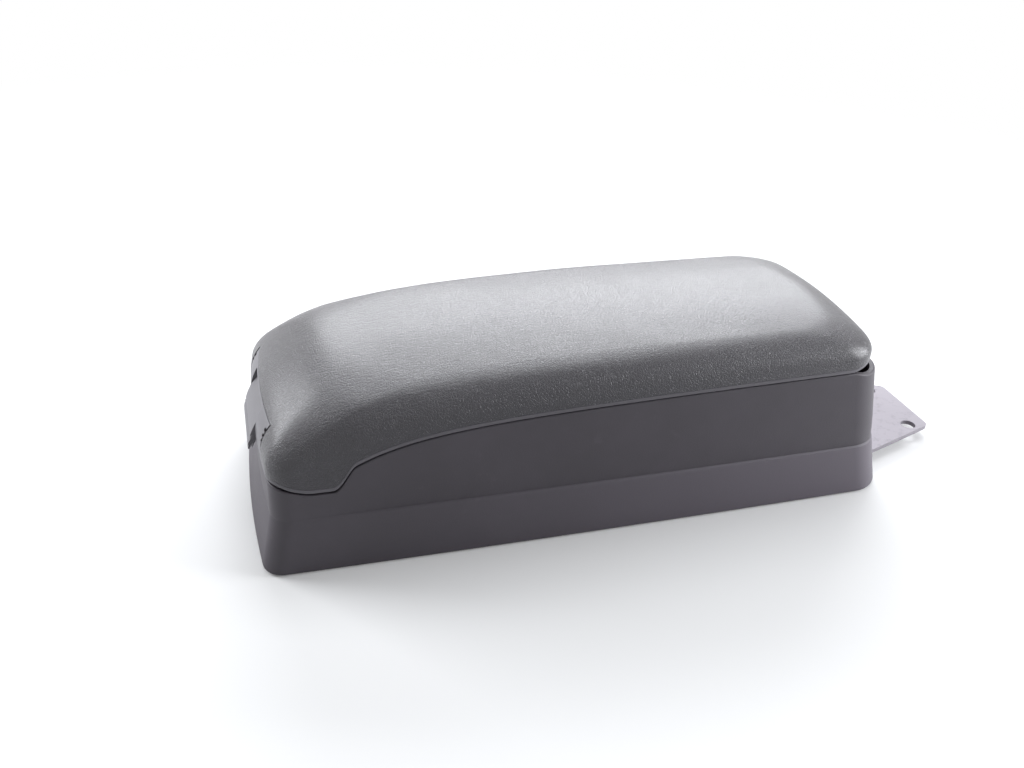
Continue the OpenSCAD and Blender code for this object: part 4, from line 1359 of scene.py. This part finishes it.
@dataclass
class Latch(Part):
    """Hard insert in the lid's front with a lift-up paddle, its pin and its return spring."""

    form: LidForm = LidForm()
    x: float = -145.5
    z: float = 61.5
    half: float = 36.0
    top: float = 65.0
    bottom: float = 49.2
    wall: float = 2.8
    paddle_half: float = 18.0
    window_top: float = 63.9
    boss_y: float = 28.0
    pin_r: float = 2.0
    pin_half: float = 22.5
    wire: float = 0.6
    coil_gap: float = 0.75
    coil_turns: float = 4.25
    coil_pitch: float = 1.5
    coil_start: float = 6.0

    def place(self, *offsets: Pair) -> list[Pair]:
        """XZ of points of the paddle's section, from the lid's front and the pin's height."""
        return [(self.form.seam.lid_front + dx, self.z + dz) for dx, dz in offsets]

    def build_face(self) -> Form:
        """Lay the insert's curved face with the paddle's window and the snap slots, and thicken it."""
        form = Form()
        bmesh.ops.create_grid(form.bm, x_segments=72, y_segments=22, size=1.0)
        for vert in form.bm.verts:
            y = vert.co.x * self.half
            z = mix(self.bottom, self.top, (vert.co.y + 1) / 2)
            vert.co = (self.form.front_x(y, z, 0.15, 0.15), y, z)
        gap, front = self.paddle_half + 0.4, self.form.seam.lid_front
        form.cut_box((front - 10, -gap, self.bottom - 1), (front + 34, gap, self.window_top))
        for k in range(3):
            z, reach = self.top - 3 - 2.5 * k, 2.0 - 0.4 * k
            for side in (-1, 1):
                ends = sorted((side * (self.half - reach), side * (self.half + 3)))
                form.cut_box((front - 10, ends[0], z - 0.75), (front + 34, ends[1], z + 0.75))
        bmesh.ops.recalc_face_normals(form.bm, faces=form.bm.faces[:])
        if form.bm.faces[0].normal.x > 0:
            bmesh.ops.reverse_faces(form.bm, faces=form.bm.faces[:])
        form.wall(self.wall)
        form.round_edges(0.25)
        return form

    def build_insert(self) -> None:
        """Make the insert with its ears, bosses and screws."""
        form, ears = self.build_face(), Form()
        front, foot = self.form.seam.lid_front, self.z - 4.5
        ears.twins([(front + 3.2, self.bottom + 4), (front + 8.4, self.window_top),
                    (self.x - 1, self.window_top + 0.6), (self.x + 4.5, self.z + 3), (self.x + 4.5, self.z - 3),
                    (self.x - 1, self.z - 5), (front + 9, self.bottom + 4)], 18.5, 22.0)
        ears.round_edges(0.3, 2, 40)
        form.join(ears)
        for y in (-self.boss_y, self.boss_y):
            form.turned([(4.0, 3.6), (4.0, 6.7), (3.7, 7.0), (1.27, 7.0), (1.27, 4.5)], (front, y, foot), Axis.X)
        self.add(form, "latch_insert", Body.LID, "latch", "latch_bezel", 40)
        self.screws("insert_screws", Body.LID, "bezel_screws", raised(pairs((front + 9.62,), self.boss_y), foot),
                    Axis.X, 1, (1.25, 4.8, 2.7, 1.8))

    def build_paddle(self) -> None:
        """Mould the paddle with its flared lip, cheeks, rib and hook."""
        form, parts = Form(), Form()
        face = flowing(self.place((5.8, -1.0), (4.4, -2.1), (3, -3.7), (1.2, -5.9), (-0.6, -9.3), (-2.2, -13.5),
                                  (-3.4, -18), (-3.6, -20.1)), 3)
        back = flowing(self.place((-1.7, -19.9), (-1.3, -15.5), (-0.6, -12.3), (3.2, -10.7), (6, -8.5),
                                  (8.6, -5.5), (10.2, -2.6), (10.9, -1.2)), 2)
        form.prism([*face, *self.place((-3.1, -20.5), (-2, -20.5)), *back], Axis.Y, -self.paddle_half,
                   self.paddle_half)
        form.round_edges(0.5, 3)
        parts.twins(self.place((8.6, -0.9), (5, -3), (6, -8), (9, -6.5), (16, -4), (17.5, 0), (16.5, 1.6)),
                    15.0, 17.9)
        parts.prism(self.place((8.4, -0.9), (5, -3), (6, -8), (9, -6.5), (15, -7), (17.5, 0), (16.5, 1.6)),
                    Axis.Y, -5.0, 5.0)
        x, z, top = self.x, self.z, 38.7
        parts.prism([(x - 4.4, z - 6), (x - 3.6, top - 4), (x - 2.2, top - 4.6), (x + 2.6, top - 1.6), (x + 2.6, top),
                     (x - 0.2, top), (x - 0.2, z - 3)], Axis.Y, -5.0, 5.0)
        parts.round_edges(0.25, 2, 40)
        form.join(parts)
        bore = self.pin_r + 0.03
        for low, high in ((15.0, 18.0), (-18.0, -15.0), (-5.0, 5.0)):
            form.turned([(bore, low), (3.75, low), (4.0, low + 0.25), (4.0, high - 0.25), (3.75, high), (bore, high)],
                        (x, 0.0, z), Axis.Y, closed=True)
        self.add(form, "latch_paddle", Body.LATCH, "latch", "latch_handle", 34)

    def build_pin(self) -> None:
        """Turn the pin."""
        form = Form()
        r, reach = self.pin_r, self.pin_half
        form.turned([(r - 0.4, -reach), (r, -reach + 0.4), (r, reach - 0.4), (r - 0.4, reach)],
                    (self.x, 0.0, self.z), Axis.Y)
        self.add(form, "latch_pin_piece", Body.LID, "ground", "latch_pin")

    def build_spring(self) -> None:
        """Coil the return spring round the pin, with a leg down the paddle and a tail to the rear."""
        form = Form()
        coil = self.pin_r + self.coil_gap
        path = [Vector((self.x + coil, self.coil_start, self.z - 8 + 8 * k / 5)) for k in range(5)]
        steps = round(self.coil_turns * 24)
        for k in range(steps + 1):
            a = 2 * math.pi * self.coil_turns * k / steps
            path.append(Vector((self.x + coil * math.cos(a), self.coil_start + self.coil_pitch * a / (2 * math.pi),
                                self.z + coil * math.sin(a))))
        tail = path[-1]
        path += [tail - Vector((0.975 * k, 0, 0)) for k in range(1, 5)]
        rings = []
        for i, point in enumerate(path):
            way = (path[min(len(path) - 1, i + 1)] - path[max(0, i - 1)]).normalized()
            side = way.cross(Vector((0, 1, 0))).normalized()
            up = way.cross(side)
            rings.append([tuple(point + self.wire * (math.cos(a) * side + math.sin(a) * up))
                          for a in (math.pi * k / 5 for k in range(10))])
        form.close_flat(*form.skin(rings))
        self.add(form, "return_spring", Body.LID, "ground", "latch_spring", 40, outward=True)

    def build(self) -> None:
        """Make the latch."""
        self.build_insert()
        self.build_paddle()
        self.build_pin()
        self.build_spring()


# ---- Studio ----


@dataclass
class Studio:
    """Camera, lamps, pale floor and white surroundings."""

    whiteness: float = 0.15
    ambient: float = 0.12
    floor_size: float = 3.0
    near_floor: float = 0.3
    far_floor: float = 0.95
    camera: Point = (-0.16422, -0.40148, 0.3023)
    turns: Point = (0.3172, 0.5366, 0.065)
    lens: float = 33.366
    daylight: Point = (0.95, 0.97, 1.0)

    def build(self) -> None:
        """Set the stage."""
        self.build_camera()
        self.build_world()
        self.build_floor()
        self.build_lamps()

    def build_camera(self) -> None:
        """Place the camera as the photograph was taken."""
        yaw, pitch, roll = self.turns
        right0 = Vector((math.cos(yaw), -math.sin(yaw), 0.0))
        look = Vector((math.sin(yaw) * math.cos(pitch), math.cos(yaw) * math.cos(pitch), -math.sin(pitch)))
        up0 = right0.cross(look)
        right = right0 * math.cos(roll) + up0 * math.sin(roll)
        up = up0 * math.cos(roll) - right0 * math.sin(roll)
        turn = Matrix((right, up, -look)).transposed().to_4x4()
        data = bpy.data.cameras.new("camera")
        data.sensor_width, data.lens = 36.0, self.lens
        data.clip_start = 0.01
        camera = bpy.context.scene.camera = put("camera", data)
        camera.matrix_world = Matrix.Translation(self.camera) @ turn

    def build_world(self) -> None:
        """White to rays that look, soft grey to those that light."""
        g = Graph("surroundings", bpy.data.worlds)
        strength = g.node("ShaderNodeMapRange", {}, {"Value": g.seen(), "To Min": self.ambient, "To Max": 1.0})
        g.surface("ShaderNodeBackground", {"Color": WHITE, "Strength": strength}, "World")
        bpy.context.scene.world = g.owner

    def build_floor(self) -> None:
        """Lay a wide pale floor that keeps the shadow and fades to white away from the armrest."""
        form = Form()
        bmesh.ops.create_grid(form.bm, x_segments=1, y_segments=1, size=self.floor_size,
                              matrix=Matrix.Translation((0, 0, -0.0002)))
        mesh = form.mesh("floor")
        g = Graph("pale_floor")
        paint = g.node("ShaderNodeBsdfDiffuse", {}, {"Color": (0.8, 0.8, 0.8, 1.0)})
        white = g.node("ShaderNodeEmission", {}, {"Color": WHITE, "Strength": 1.0})
        away = g.node("ShaderNodeVectorMath", {"operation": "LENGTH"}, {0: g.place}, "Value")
        share = self.whiteness + away.ramp(self.near_floor, self.far_floor) * (1 - self.whiteness)
        g.surface("ShaderNodeMixShader", {0: g.seen() * share, 1: paint, 2: white})
        mesh.materials.append(g.owner)
        put("floor", mesh)

    def build_lamps(self) -> None:
        """Hang the overhead light, a low window behind, a doorway at the left and a passage at the right."""
        for name, place, size, power, target in (
                ("sky", (0.2, 0.45, 1.7), (1.1, 1.1), 17.0, (0.0, 0.0, 0.05)),
                ("window", (0.5, 1.55, 0.96), (1.9, 0.75), 42.0, (0.0, 0.0, 0.06)),
                ("doorway", (-1.3, 0.9, 0.8), (0.9, 0.9), 28.0, (0.0, 0.0, 0.05)),
                ("passage", (0.8, -0.25, 0.32), (0.4, 0.4), 7.0, (0.15, 0.0, 0.04))):
            data = bpy.data.lights.new(name, "AREA")
            data.shape, data.energy, data.color = "RECTANGLE", power, self.daylight
            data.size, data.size_y = size
            aim = (Vector(target) - Vector(place)).to_track_quat("-Z", "Y").to_matrix().to_4x4()
            lamp = put(name, data)
            lamp.matrix_world = Matrix.Translation(place) @ aim


def main() -> None:
    """Build the armrest and its studio."""
    logging.basicConfig(level=logging.INFO, format="%(name)s: %(message)s")
    bpy.context.scene.view_settings.view_transform = "Standard"
    paint = Paint()
    for maker in (Housing, Tub, Tongue, Hinge, Striker, Lid, Latch):
        log.info("building the %s", maker.__name__.lower())
        maker(paint).build()
    Studio().build()


if __name__ == "__main__":
    main()
